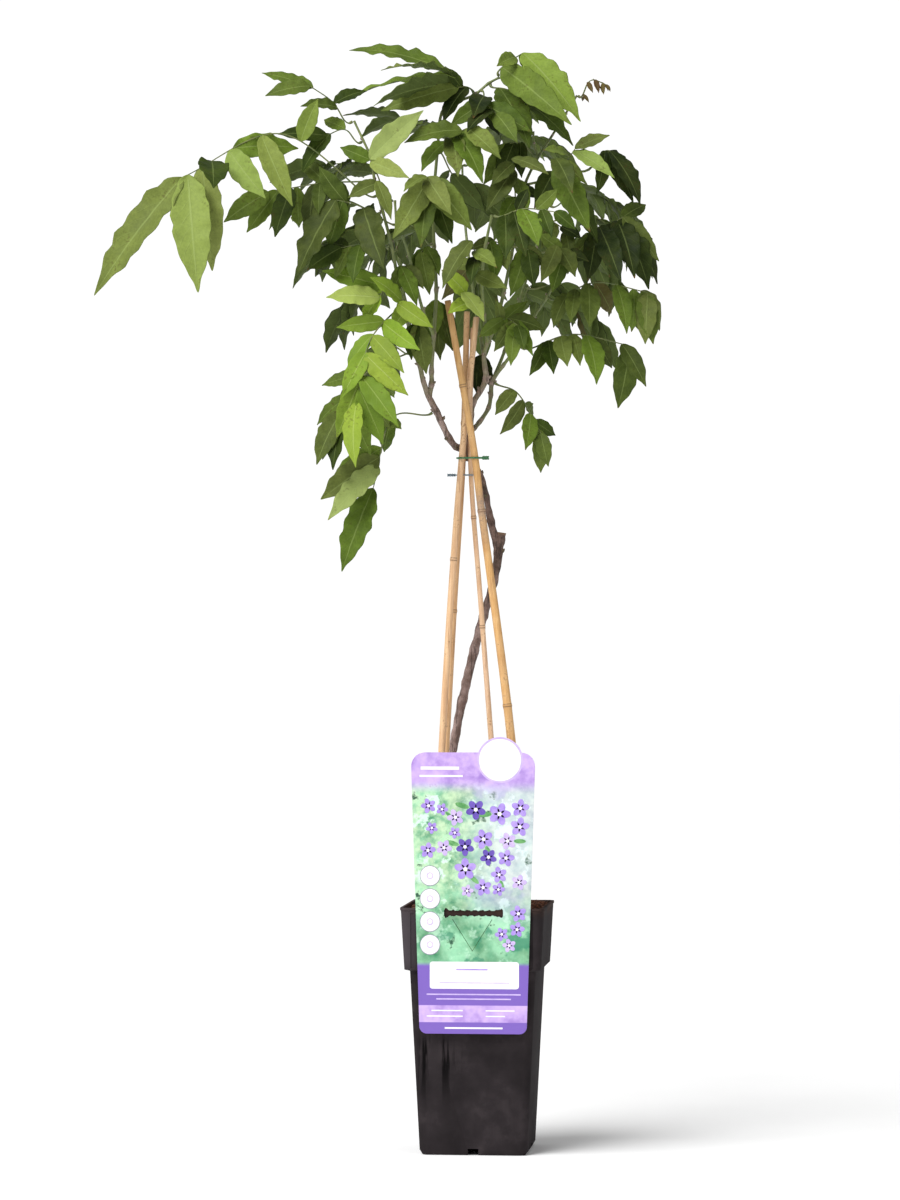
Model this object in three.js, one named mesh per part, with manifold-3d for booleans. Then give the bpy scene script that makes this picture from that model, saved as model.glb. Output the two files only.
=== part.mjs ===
// A young wisteria in a square climber pot: a grafted stem tied to four bamboo canes, its crown of
// pinnate fronds, the soil it grows in and the card tag that hooks over the rim.
//
// Millimetres, +Z up. The origin is the middle of the pot's underside, on the surface it stands on.
// The pot is square to X and Y with the tag on its -Y side. The plant and its canes stand in a group
// turned a little about the pot's axis; places in that group are written [across, front, height].

import * as THREE from "three";
import { mergeVertices } from "three/addons/utils/BufferGeometryUtils.js";
import Module from "manifold-3d";

const wasm = await Module();
wasm.setup();

// ---------------------------------------------------------------- driving dimensions

const GAP = 0.35; // clearance between pieces that rest against each other
const PLANT_TURN = 5.6; // degrees, the plant's front against the pot's front

const POT = {
  height: 206,
  rimHalf: 60, // half of the 120 mm square rim
  rimLip: 2.4,
  rimLipHeight: 2.5,
  lipStep: 0.6, // the band stands this far inside the lip
  collarDrop: 51.5, // the stepped band below the rim
  collarFootHalf: 56.8,
  collarStep: 1.3, // height of the slope under the band
  bodyTopHalf: 52.5,
  bodyFootHalf: 45.2,
  soleHalf: 43,
  chamfer: 4,
  wall: 1.6,
  cornerRadius: 6.5,
  cornerPoints: 4,
  feet: 6, // height of the hollow under the floor
  floor: 1.5,
  bossHalf: 12,
  skirt: { inset: 3.5, taper: 0.4 }, // the wall round that hollow
  notch: [9, 5.5], // width and height of the drain notch in each bottom edge
  drain: { radius: 4, from: 27, sides: 10 },
  groove: { width: 2.5, depth: 0.7, height: 46, fromCorner: 11 },
};

const SOIL = {
  level: 200,
  edge: 198,
  edgeHalf: 56.8, // clear of the rim's inner face
  rings: [48, 36, 24, 12], // rings of points between the edge and the middle
  mound: 0.5, // the two inner rings stand this much higher
  bumps: 2.4,
};

const TAG = {
  thickness: 0.8,
  front: -61.4, // Y of its front face
  foot: 102.4,
  top: 335,
  middle: 1.5,
  footHalf: 44.4,
  topHalf: 51.8,
  footRadius: 6,
  topRadius: 12,
  cornerSteps: 5,
  badge: { across: 23.9, height: 328.8, radius: 19, sides: 28 },
  slot: { middle: 1.9, width: 49, height: 8.4 },
  tongue: { width: 40, over: 5.2, down: 10 },
};

// Each cane: its foot in the soil, its place at the tie, its top, and its radius at foot and top.
// The nodes are heights at which the bamboo swells.
const CANES = {
  cane_front: {
    route: [
      [33, 18, 112], [36, 20, 160], [38.5, 21.5, 203], [27.8, 16.8, 343],
      [1.7, 9.7, 545], [-3, 8.5, 583], [-25.5, 5, 712],
    ],
    radii: [4.3, 2.7],
    nodes: [232, 372, 535, 640],
  },
  cane_left_back: {
    route: [[-39.5, -6, 100], [-20.6, -6, 450], [-12.6, -6, 583], [-9.2, -8, 703.5]],
    radii: [3.2, 2.5],
    nodes: [210, 318, 452, 610],
  },
  cane_left: {
    route: [[-43, 18, 100], [-23.6, 6.4, 450], [-13.4, 2, 583], [-1.3, -1.5, 698.5]],
    radii: [3.2, 2.5],
    nodes: [180, 330, 495, 625],
  },
  cane_thin: {
    route: [[30.5, -24, 100], [3, -10.6, 450], [-6.5, -5.5, 583], [-4.5, -11, 690]],
    radii: [2.6, 1.9],
    nodes: [262, 439, 531, 660],
  },
};
const CANE = { sides: 7, nodeSwell: 0.5, nodeHalf: 3 };

// Wires twisted round what they hold; turned is the side of the bundle where their ends stand out.
const TIES = {
  wire_tie: {
    height: 580,
    wire: 0.8,
    twist: 5,
    turned: -0.2,
    steps: 42,
    holds: ["cane_front", "cane_left_back", "cane_left", "cane_thin", "trunk"],
    colour: 0x2f5a3a,
  },
  lower_wire_tie: {
    height: 566,
    wire: 0.6,
    twist: 7,
    turned: 2.9,
    steps: 30,
    holds: ["cane_left_back", "cane_thin"],
    colour: 0x6f7f8a,
  },
};

// The ties' shape; where their twisted ends start and how far apart they run is in radii of the wire.
const TIE = { sides: 5, slack: 0.25, loopPoints: 22, twistFrom: 2.6, twistApart: 1.3, twistPoints: 8 };
const TWIST_STEP = Math.PI / 2.2; // turn of the twisted ends from one of their points to the next

const SHOOT = { trunkSides: 7, sides: 5, ringEvery: 30 };

// Leaflets: [share of the length, share of the greatest half-width, rise of the margin by its wave].
// Fronds that show have the full outline, inner ones the short one.
const FULL_OUTLINE = [[0, 0, 0], [0.13, 0.66, 1], [0.45, 1, -1], [0.78, 0.58, 1], [1, 0, 0]];
const SHORT_OUTLINE = [[0, 0, 0], [0.24, 0.9, 1], [0.68, 0.8, -1], [1, 0, 0]];
const LEAF = {
  widthScale: 1.45, // width = 1.45 * length ^ 0.62, as wisteria leaflets measure
  widthPower: 0.62,
  rib: 0.8, // how far the rib stands out below
  fold: 0.16, // rise of the margin over its distance from the rib
  arch: 0.05, // rise of the rib over the leaflet's length
  wave: 0.08, // rise and fall of the margin over the same distance
  sunk: 0.3, // how far the root reaches behind the stalk's middle
  spread: 0.35, // largest turn of a leaflet about its rib, in radians
  plump: [0.92, 0.16], // smallest share of the rule's width, and the range above it
};
const STALK = {
  foot: 1.6, // radius at the shoot
  tip: 1.25,
  sides: 3,
  rings: 5,
  end: 1.2, // the last leaflet is rooted this far inside the end
  rise: 5, // it leaves the shoot square for this far, or riseShare of its length if that is less
  riseShare: 0.25,
  room: 0.6, // kept clear round it
};

// Where the pairs of an inner frond sit on its stalk, and how far they lean forward and hang.
const PAIRS = {
  from: 0.42,
  over: 0.5,
  stagger: 0.2,
  forward: 0.55,
  drawIn: 0.35,
  reach: [0.85, 0.3],
  lastReach: 1.1,
  lastHang: 0.6,
  lift: 1.15,
};
const SEED_STEP = 40; // numbers for chance() that each frond may use

// A leaflet that would touch something is swung to the front or back, then shortened.
const SWINGS = [0, 7, -7, 14, -14, 21, -21, 29, -29];
const SHORTENED = [1, 0.86, 0.72];
const CLEAR = 1.4; // room kept on both faces of a leaflet
const MAY_SHARE = { others: 0.01, own: 0.3 }; // cubic millimetres, where leaflets of a frond may join

// Shoots of the woody stem: [across, front, height, radius] at each bend.
const STEMS = {
  trunk: [
    [-35, -24, 187, 4.8], [-34, -25, 208, 4.6], [-31, -27, 267, 4.4], [-21, -29, 336, 4.2],
    [-13, -31, 376, 4.2], [-3, -33, 418, 4.2], [5, -33, 448, 4.0], [13, -31, 475, 3.9],
    [17, -27, 501, 3.8], [11, -24, 527, 3.3], [7, -21, 548, 3.0], [2, -17, 566, 2.9],
    [-6, -14, 579, 2.9], [-11, -12, 590, 3.0],
  ],
  pruned_stub: [
    [17, -27, 501, 3.8], [19, -26, 511, 3.8], [20, -26, 518, 3.9],
  ],
  left_branch: [
    [-11, -12.5, 590, 3], [-17, -12, 589, 3.0], [-24, -12, 597, 3.1], [-31, -8, 611, 2.9],
    [-35, -6, 620, 3.1], [-41, -3, 631, 2.7], [-46, 0, 645, 2.4], [-49, 4, 658, 2.1],
    [-54, 8, 670, 1.8], [-59, 25, 694, 1.7], [-66, 42, 723, 1.6], [-72, 52, 755, 1.5],
    [-79, 55, 782, 1.4], [-86, 55, 809, 1.3], [-89, 54, 827, 1.2], [-95, 52, 841, 1.1],
    [-103, 50, 858, 1.0],
  ],
  top_shoot: [
    [-41, -3, 631, 2.3], [-39, -2, 642, 2.2], [-39, 0, 654, 2.0], [-37, 6, 683, 1.8],
    [-35, 10, 720, 1.7], [-37, 12, 758, 1.6], [-37, 12, 796, 1.5], [-34, 12, 836, 1.4],
    [-29, 12, 871, 1.4], [-15, 10, 879, 1.3], [-3, 8, 884, 1.3], [9, 6, 894, 1.1], [18, 5, 899, 1.0],
  ],
  left_front_shoot: [
    [-37, 6, 683, 1.6], [-46, 30, 702, 1.5], [-57, 45, 745, 1.3], [-63, 50, 763, 1.1],
  ],
  right_branch: [
    [-11, -12.5, 590, 3], [-7, -15, 602, 2.8], [-6, -15, 617, 2.7], [-4, -14, 627, 2.6],
    [2, -12, 637, 2.5], [7, -10, 647, 2.6], [6, -8, 656, 2.3], [5, -6, 667, 2.1], [8, -3, 677, 1.9],
    [13, 0, 688, 1.8], [21, 8, 716, 1.7], [28, 12, 750, 1.6], [34, 14, 783, 1.5], [39, 14, 808, 1.4],
    [50, 10, 831, 1.2], [62, 6, 850, 1.1], [73, 4, 868, 1.0], [83, 4, 884, 0.9],
  ],
  third_branch: [
    [-7, -15, 602, 2.4], [-3, -20, 606, 2.0], [2, -22, 612, 1.9], [9, -22, 623, 1.9],
    [11, -20, 634, 1.9], [12, -16, 645, 2.2], [21, -10, 658, 1.6], [34, 0, 675, 1.5],
    [46, 8, 697, 1.4], [58, 15, 715, 1.3], [73, 20, 741, 1.2], [89, 22, 757, 1.1], [106, 25, 765, 1.0],
    [112, 26, 771, 0.9],
  ],
  right_shoot: [
    [39, 14, 808, 1.2], [58, 20, 812, 1.2], [78, 25, 818, 1.1], [91, 28, 819, 1.0], [102, 30, 831, 0.9],
  ],
  front_shoot: [
    [8, -3, 677, 1.7], [5, 25, 699, 1.6], [3, 50, 726, 1.5], [6, 68, 754, 1.4], [11, 75, 778, 1.2],
  ],
  back_right_shoot: [
    [12, -16, 645, 1.8], [23, -45, 673, 1.6], [36, -75, 717, 1.5], [50, -95, 762, 1.4],
    [61, -105, 801, 1.2],
  ],
  back_left_shoot: [
    [-46, 0, 645, 1.9], [-53, -35, 673, 1.6], [-62, -70, 717, 1.5], [-68, -95, 762, 1.3],
    [-71, -105, 805, 1.1],
  ],
  back_shoot: [
    [5, -6, 667, 1.9], [0, -50, 699, 1.6], [-6, -90, 744, 1.4], [-11, -115, 793, 1.2],
    [-13, -120, 837, 1.0],
  ],
  tip_stub: [
    [50, 10, 831, 1.2], [47, 12, 842, 1.1], [46, 13, 853, 1.0],
  ],
};

// Fronds that show from the front. A stalk leaves its shoot at a bend number, passes a point and ends
// at its tip. The face is the way its leaflets look. Each leaflet is [share of the stalk, the three
// numbers of its tip's place, and a turn about its rib in radians where it has one].
const FRONDS = [
  {
    name: "long_left", stem: "left_branch", at: 12.5,
    through: [-163, 75, 845], tip: [-243, 95, 807], face: [0, 1, 0.25],
    leaflets: [
      [1, -316, 100, 709], [0.97, -229, 112, 711], [0.9, -219, 86, 730], [0.85, -215, 135, 795],
      [0.76, -174, 102, 789], [0.74, -147, 60, 835], [0.6, -152, 92, 783], [0.42, -132, 70, 875],
    ],
  },
  {
    name: "left_twig", stem: "left_branch", at: 15,
    through: [-110, 54, 851], tip: [-126, 56, 845], face: [0, 0.8, 0.6],
    leaflets: [
      [1, -167, 62, 846], [0.9, -147, 72, 814], [0.55, -129, 38, 861],
    ],
  },
  {
    name: "left_tip", stem: "left_branch", at: 16,
    through: [-120, 50, 873], tip: [-140, 52, 887], face: [0, 0.8, 0.7],
    leaflets: [
      [1, -177, 60, 879], [0.93, -181, 38, 900], [0.42, -147, 66, 870], [0.5, -92, 34, 885],
    ],
  },
  {
    name: "left_yellow", stem: "left_branch", at: 13.4,
    through: [-87, 60, 818], tip: [-90, 62, 826], face: [0, 1, 0.3],
    leaflets: [
      [1, -45, 66, 866], [0.75, -57, 84, 808], [0.9, -115, 60, 836],
    ],
  },
  {
    name: "top_left", stem: "top_shoot", at: 9.4,
    through: [-13, 14, 892], tip: [-27, 20, 903], face: [0, 0.35, 1],
    leaflets: [
      [1, -109, 0, 927], [0.8, -81, 72, 897], [0.62, -121, -40, 886], [0.42, -90, 62, 872, 1.15],
    ],
  },
  {
    name: "top_right", stem: "top_shoot", at: 11,
    through: [23, 10, 889], tip: [37, 16, 879], face: [0, 0.8, 0.8],
    leaflets: [
      [0.55, 53, -14, 862], [1, 81, 14, 841], [0.3, 43, 58, 834], [0.95, 59, -20, 887],
    ],
  },
  {
    name: "top_crown", stem: "top_shoot", at: 12,
    through: [25, 8, 911], tip: [38, 12, 919], face: [0, 0.9, 0.5],
    leaflets: [
      [1, 86, 44, 859], [0.85, 85, -22, 878], [0.3, 76, 70, 855], [0.75, 15, 34, 905],
    ],
  },
  {
    name: "young_tip", stem: "right_branch", at: 17,
    through: [94, 6, 897], tip: [108, 10, 892], face: [0, 0.7, 0.8],
    leaflets: [
      [1, 111, 12, 886], [0.9, 105, 16, 883], [0.85, 110, 0, 888], [0.7, 101, 18, 884],
      [0.65, 105, -2, 887], [0.5, 96, 16, 885], [0.2, 93, 14, 877], [0.15, 88, -2, 880],
    ],
  },
  {
    name: "right_small", stem: "right_shoot", at: 1.5,
    through: [74, 32, 827], tip: [81, 36, 837], face: [0, 0.9, 0.6],
    leaflets: [
      [1, 110, 32, 849], [0.9, 113, 62, 811], [0.7, 54, 60, 834], [0.5, 68, 50, 799],
    ],
  },
  {
    name: "right_dark", stem: "right_shoot", at: 4,
    through: [106, 33, 835], tip: [110, 36, 834], face: [0.3, 0.9, 0.4],
    leaflets: [
      [1, 136, 48, 788], [0.55, 98, 62, 796], [0.9, 129, -2, 809],
    ],
  },
  {
    name: "right_a", stem: "third_branch", at: 13,
    through: [116, 30, 777], tip: [121, 32, 780], face: [0.3, 0.9, 0.4],
    leaflets: [
      [1, 151, 36, 742], [0.85, 153, 6, 725], [0.6, 129, 58, 727], [0.3, 105, 60, 737],
      [0.9, 141, 10, 792],
    ],
  },
  {
    name: "right_b", stem: "third_branch", at: 9,
    through: [96, 35, 725], tip: [141, 45, 716], face: [0.1, 1, 0.25],
    leaflets: [
      [0.22, 62, 42, 687], [0.44, 92, 54, 686], [0.5, 113, 12, 700], [0.7, 123, 62, 681],
      [0.86, 128, 30, 683], [1, 138, 54, 672], [0.93, 153, 22, 685],
    ],
  },
  {
    name: "right_c", stem: "third_branch", at: 7,
    through: [78, 18, 683], tip: [127, 22, 673], face: [0.1, 1, 0.25],
    leaflets: [
      [0.28, 63, 30, 649], [0.3, 52, -18, 662], [0.5, 85, 32, 656], [0.62, 99, 40, 640],
      [0.68, 113, 4, 654], [0.93, 140, 34, 638], [1, 117, 12, 620],
    ],
  },
  {
    name: "low_right", stem: "third_branch", at: 5,
    through: [32, -4, 636], tip: [53, 6, 600], face: [0.2, 1, 0.2],
    leaflets: [
      [0.32, 14, 6, 616], [0.5, 18, 10, 599], [0.55, 47, -24, 618], [0.7, 40, 18, 586],
      [0.8, 66, -10, 599], [1, 59, 8, 572], [0.93, 53, -12, 567],
    ],
  },
  {
    name: "bright_front", stem: "left_branch", at: 9.5,
    through: [-90, 78, 673], tip: [-100, 85, 623], face: [-0.15, 1, 0.25],
    leaflets: [
      [0.28, -118, 64, 686], [0.3, -49, 90, 666], [0.46, -109, 76, 649], [0.48, -61, 96, 647],
      [0.62, -113, 78, 627], [0.64, -57, 99, 628], [0.78, -118, 72, 594], [0.8, -65, 104, 602],
      [1, -101, 112, 569], [0.9, -78, 84, 588],
    ],
  },
  {
    name: "low_left", stem: "left_branch", at: 4,
    through: [-70, -2, 616], tip: [-88, 8, 554], face: [-0.1, 1, 0.2],
    leaflets: [
      [0.4, -64, 12, 604], [0.36, -80, -28, 584], [0.72, -133, 0, 545], [0.8, -126, 28, 528],
      [1, -115, 15, 484], [0.64, -123, -26, 562],
    ],
  },
  {
    name: "behind_left", stem: "left_branch", at: 8,
    through: [-94, 22, 650], tip: [-115, 30, 616], face: [-0.3, 1, 0.3],
    leaflets: [
      [0.55, -132, 10, 641], [0.8, -136, 10, 607], [1, -130, 38, 577], [0.85, -89, 26, 581],
      [0.6, -73, 4, 602], [0.35, -70, -14, 631],
    ],
  },
  {
    name: "left_light", stem: "left_branch", at: 10,
    through: [-76, 56, 722], tip: [-82, 62, 710], face: [-0.1, 0.9, 0.5],
    leaflets: [
      [1, -126, 74, 711], [0.6, -131, 44, 735], [0.8, -120, 36, 719], [0.9, -96, 52, 691],
    ],
  },
  {
    name: "left_b", stem: "left_branch", at: 12,
    through: [-102, 64, 788], tip: [-118, 68, 791], face: [-0.1, 1, 0.3],
    leaflets: [
      [1, -150, 78, 728], [0.85, -124, 60, 751], [0.4, -78, 94, 732], [0.8, -132, 70, 819],
    ],
  },
  {
    name: "left_c", stem: "left_branch", at: 13,
    through: [-129, 56, 806], tip: [-174, 58, 798], face: [0, 1, 0.35],
    leaflets: [
      [1, -211, 66, 773], [0.9, -193, 50, 765], [0.78, -168, 74, 759], [0.72, -149, 40, 769],
      [0.5, -132, 76, 779], [0.45, -148, 40, 828], [0.3, -117, 36, 774],
    ],
  },
  {
    name: "left_d", stem: "left_branch", at: 11,
    through: [-96, 60, 755], tip: [-114, 62, 752], face: [-0.2, 1, 0.4],
    leaflets: [
      [1, -142, 68, 733], [0.85, -131, 42, 757], [0.6, -104, 80, 722], [0.5, -93, 40, 777],
      [0.8, -120, 46, 726],
    ],
  },
  {
    name: "front_right", stem: "front_shoot", at: 4,
    through: [37, 90, 782], tip: [63, 94, 779], face: [0.1, 1, 0.35],
    leaflets: [
      [0.2, 22, 108, 739], [0.36, 39, 104, 742], [0.5, 49, 112, 750], [0.8, 60, 108, 757],
      [1, 80, 98, 764], [0.42, 41, 82, 800], [0.72, 65, 84, 799],
    ],
  },
  {
    name: "front_low", stem: "front_shoot", at: 2,
    through: [-2, 72, 743], tip: [-6, 78, 757], face: [-0.1, 1, 0.35],
    leaflets: [
      [1, -31, 94, 717], [0.8, 15, 100, 734], [0.55, -22, 56, 737], [0.35, 24, 84, 717],
      [0.7, -7, 100, 719],
    ],
  },
  {
    name: "front_bright", stem: "front_shoot", at: 1,
    through: [-6, 36, 713], tip: [-13, 42, 717], face: [0.1, 1, 0.4],
    leaflets: [
      [1, 5, 64, 691], [0.9, -30, 60, 734], [0.5, -25, 56, 699],
    ],
  },
  {
    name: "front_left", stem: "left_front_shoot", at: 1,
    through: [-61, 52, 709], tip: [-67, 62, 706], face: [-0.1, 1, 0.4],
    leaflets: [
      [1, -37, 76, 685], [0.85, -89, 80, 727], [0.5, -72, 60, 683],
    ],
  },
  {
    name: "centre_top", stem: "top_shoot", at: 7,
    through: [-22, 42, 846], tip: [-9, 62, 851], face: [0, 0.9, 0.7],
    leaflets: [
      [0.85, -62, 66, 840], [1, 19, 82, 824], [0.7, 4, 92, 805], [0.4, -48, 54, 817],
      [0.6, -17, 84, 809], [0.5, 18, 40, 838],
    ],
  },
  {
    name: "top_dark", stem: "top_shoot", at: 10.4,
    through: [6, 34, 875], tip: [15, 46, 864], face: [0, 0.9, 0.5],
    leaflets: [
      [1, 32, 70, 839], [0.85, -10, 72, 847], [0.7, 44, 34, 849], [0.6, -24, 40, 855],
      [0.5, 18, 14, 849], [0.35, -4, 62, 861],
    ],
  },
  {
    name: "centre_low", stem: "right_branch", at: 9,
    through: [23, 26, 696], tip: [33, 38, 689], face: [0.1, 1, 0.4],
    leaflets: [
      [1, 38, 52, 668], [0.85, 13, 34, 667], [0.7, 56, 34, 686], [0.55, 0, 20, 680],
      [0.4, 15, 44, 712], [0.9, 27, 18, 655], [0.3, 42, 6, 712],
    ],
  },
  {
    name: "centre_left", stem: "top_shoot", at: 6,
    through: [-40, 46, 809], tip: [-43, 72, 810], face: [-0.1, 1, 0.5],
    leaflets: [
      [1, -62, 90, 796], [0.9, -22, 92, 777], [0.7, -71, 77, 758], [0.6, -48, 80, 751],
      [0.8, -5, 74, 765], [0.45, -22, 56, 756], [0.3, -63, 44, 775],
    ],
  },
  {
    name: "centre_right", stem: "right_branch", at: 12,
    through: [30, 46, 809], tip: [28, 66, 826], face: [0.1, 1, 0.5],
    leaflets: [
      [1, 58, 88, 811], [0.8, 6, 84, 781], [0.66, 42, 72, 782], [0.9, 10, 72, 802], [0.5, 54, 44, 793],
      [0.35, 18, 48, 774], [0.3, 43, 30, 767],
    ],
  },
  {
    name: "right_centre", stem: "right_shoot", at: 1,
    through: [64, 46, 818], tip: [64, 62, 826], face: [0.2, 1, 0.4],
    leaflets: [
      [1, 77, 92, 796], [0.75, 92, 78, 764], [0.6, 102, 58, 756], [0.5, 46, 66, 784],
      [0.9, 91, 56, 805],
    ],
  },
  {
    name: "right_low", stem: "third_branch", at: 10,
    through: [69, 46, 750], tip: [65, 60, 754], face: [0.1, 1, 0.3],
    leaflets: [
      [1, 51, 78, 722], [0.8, 80, 74, 728], [0.5, 92, 56, 741], [0.7, 49, 56, 765], [0.35, 61, 48, 716],
    ],
  },
  {
    name: "right_shade", stem: "third_branch", at: 11.5,
    through: [96, 32, 767], tip: [101, 36, 772], face: [0.2, 1, 0.3],
    leaflets: [
      [1, 117, 64, 722], [0.8, 91, 40, 725], [0.5, 77, 6, 744],
    ],
  },
];

// Fronds inside and behind the crown, with leaflets placed by a rule.
const INNER_FRONDS = [
  {
    name: "back_1", stem: "back_shoot", at: 4, through: [-32, -125, 868], tip: [-67, -115, 877],
    pairs: 4, length: 48, hang: 0.35,
  },
  {
    name: "back_2", stem: "back_shoot", at: 4, through: [11, -140, 871], tip: [48, -150, 861],
    pairs: 4, length: 48, hang: 0.45,
  },
  {
    name: "back_3", stem: "back_shoot", at: 3, through: [-41, -155, 805], tip: [-69, -170, 780],
    pairs: 4, length: 46, hang: 0.8,
  },
  {
    name: "back_4", stem: "back_shoot", at: 3, through: [20, -150, 814], tip: [46, -170, 789],
    pairs: 4, length: 46, hang: 0.8,
  },
  {
    name: "back_5", stem: "back_shoot", at: 2, through: [-2, -140, 756], tip: [3, -165, 714],
    pairs: 4, length: 46, hang: 0.9,
  },
  {
    name: "back_6", stem: "back_left_shoot", at: 4, through: [-92, -110, 836], tip: [-131, -105, 836],
    pairs: 4, length: 48, hang: 0.5,
  },
  {
    name: "back_7", stem: "back_left_shoot", at: 3, through: [-99, -110, 784], tip: [-129, -118, 768],
    pairs: 4, length: 46, hang: 0.8,
  },
  {
    name: "back_8", stem: "back_left_shoot", at: 2.2, through: [-88, -100, 740], tip: [-110, -105, 715],
    pairs: 4, length: 44, hang: 0.8,
  },
  {
    name: "back_9", stem: "back_left_shoot", at: 1, through: [-80, -75, 679], tip: [-109, -85, 644],
    pairs: 4, length: 44, hang: 0.8,
  },
  {
    name: "back_10", stem: "back_right_shoot", at: 4, through: [89, -115, 819], tip: [116, -112, 804],
    pairs: 4, length: 46, hang: 0.6,
  },
  {
    name: "back_11", stem: "back_right_shoot", at: 3, through: [85, -120, 772], tip: [117, -130, 738],
    pairs: 4, length: 46, hang: 0.8,
  },
  {
    name: "back_12", stem: "back_right_shoot", at: 2.3, through: [76, -105, 732], tip: [101, -110, 701],
    pairs: 4, length: 44, hang: 0.85,
  },
  {
    name: "back_13", stem: "back_right_shoot", at: 1.8, through: [47, -100, 732], tip: [63, -112, 715],
    pairs: 4, length: 42, hang: 0.8,
  },
  {
    name: "side_left", stem: "back_left_shoot", at: 3.5, through: [-113, -60, 802], tip: [-153, -50, 802],
    pairs: 4, length: 46, hang: 0.55,
  },
  {
    name: "side_right", stem: "back_right_shoot", at: 3.6, through: [96, -60, 789], tip: [123, -50, 770],
    pairs: 4, length: 44, hang: 0.8,
  },
  {
    name: "inner_top", stem: "top_shoot", at: 7, through: [-19, -20, 817], tip: [5, -42, 809],
    pairs: 4, length: 44, hang: 0.75,
  },
  {
    name: "inner_left", stem: "top_shoot", at: 5, through: [-57, -20, 777], tip: [-81, -35, 761],
    pairs: 4, length: 42, hang: 0.7,
  },
];

// ---------------------------------------------------------------- solids

function plantPoint([across, front, height]) {
  return new THREE.Vector3(across, -front, height);
}

// A closed geometry as a solid with its faces pointing out.
function solid(geometry) {
  const bare = geometry.clone();
  bare.deleteAttribute("normal");
  bare.deleteAttribute("uv");
  const merged = mergeVertices(bare, 1e-4);
  const places = merged.getAttribute("position");
  const corners = merged.getIndex().array;
  const triangles = [];
  let volume = 0;
  const [a, b, c] = [new THREE.Vector3(), new THREE.Vector3(), new THREE.Vector3()];
  for (let i = 0; i < corners.length; i += 3) {
    const [p, q, r] = [corners[i], corners[i + 1], corners[i + 2]];
    if (p === q || q === r || r === p) continue; // collapsed where a profile meets its axis
    triangles.push(p, q, r);
    a.fromBufferAttribute(places, p);
    b.fromBufferAttribute(places, q);
    c.fromBufferAttribute(places, r);
    volume += a.dot(b.cross(c));
  }
  if (volume < 0) {
    for (let i = 0; i < triangles.length; i += 3) {
      [triangles[i + 1], triangles[i + 2]] = [triangles[i + 2], triangles[i + 1]];
    }
  }
  const mesh = new wasm.Mesh({
    numProp: 3,
    vertProperties: Float32Array.from(places.array),
    triVerts: Uint32Array.from(triangles),
  });
  return new wasm.Manifold(mesh);
}

function geometryOf(body) {
  const mesh = body.getMesh();
  const geometry = new THREE.BufferGeometry();
  geometry.setAttribute("position", new THREE.BufferAttribute(mesh.vertProperties.slice(), 3));
  geometry.setIndex(Array.from(mesh.triVerts));
  geometry.computeVertexNormals();
  return geometry;
}

function joined(bodies) {
  return bodies.reduce((whole, body) => whole.add(body));
}

// The outer shell of the largest body: a hollow sealed by joining is filled, and scraps are dropped.
function largest(body) {
  return body.decompose().reduce((best, part) => (part.volume() > best.volume() ? part : best));
}

function named(name, body, colour, roughness) {
  const material = new THREE.MeshStandardMaterial({ color: colour, roughness, metalness: 0 });
  const mesh = new THREE.Mesh(geometryOf(body), material);
  mesh.name = name;
  return mesh;
}

function moved(geometry, formula) {
  const places = geometry.getAttribute("position");
  const point = new THREE.Vector3();
  for (let i = 0; i < places.count; i += 1) {
    point.fromBufferAttribute(places, i);
    const next = formula(point);
    places.setXYZ(i, next.x, next.y, next.z);
  }
  return geometry;
}

function block(x, y, z) {
  const box = new THREE.BoxGeometry(x[1] - x[0], y[1] - y[0], z[1] - z[0]);
  return solid(box.translate((x[0] + x[1]) / 2, (y[0] + y[1]) / 2, (z[0] + z[1]) / 2));
}

// The turned profile becomes square: each ring of the lathe is laid on a square with round corners.
function squareTurned(profile) {
  const points = profile.map(([half, height]) => new THREE.Vector2(half, height));
  const count = 4 * POT.cornerPoints;
  const step = (2 * Math.PI) / count;
  return solid(moved(new THREE.LatheGeometry(points, count), (point) => {
    const half = Math.hypot(point.x, point.z);
    const k = (Math.round(Math.atan2(point.x, point.z) / step) + count) % count;
    const corner = Math.floor(k / POT.cornerPoints);
    const share = (k % POT.cornerPoints) / (POT.cornerPoints - 1);
    const angle = ((corner + share) * Math.PI) / 2;
    const radius = Math.min(POT.cornerRadius, half / 2);
    const middle = ((corner + 0.5) * Math.PI) / 2;
    const reach = (half - radius) * Math.SQRT2;
    return new THREE.Vector3(
      reach * Math.cos(middle) + radius * Math.cos(angle),
      reach * Math.sin(middle) + radius * Math.sin(angle),
      point.y,
    );
  }));
}

// A round limb along a curve. Rings are [distance along the curve, radius].
function limb(curve, rings, sides) {
  const length = curve.getLength();
  const end = rings[rings.length - 1][0];
  const profile = [new THREE.Vector2(0, rings[0][0])];
  rings.forEach(([along, radius]) => profile.push(new THREE.Vector2(radius, along)));
  profile.push(new THREE.Vector2(0, end));
  const steps = 60;
  const frames = curve.computeFrenetFrames(steps, false);
  return solid(moved(new THREE.LatheGeometry(profile, sides), (point) => {
    const share = THREE.MathUtils.clamp(point.y / length, 0, 1);
    const frame = Math.round(share * steps);
    return curve.getPointAt(share)
      .addScaledVector(frames.normals[frame], point.x)
      .addScaledVector(frames.binormals[frame], point.z);
  }));
}

// ---------------------------------------------------------------- pot, soil and tag

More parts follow.
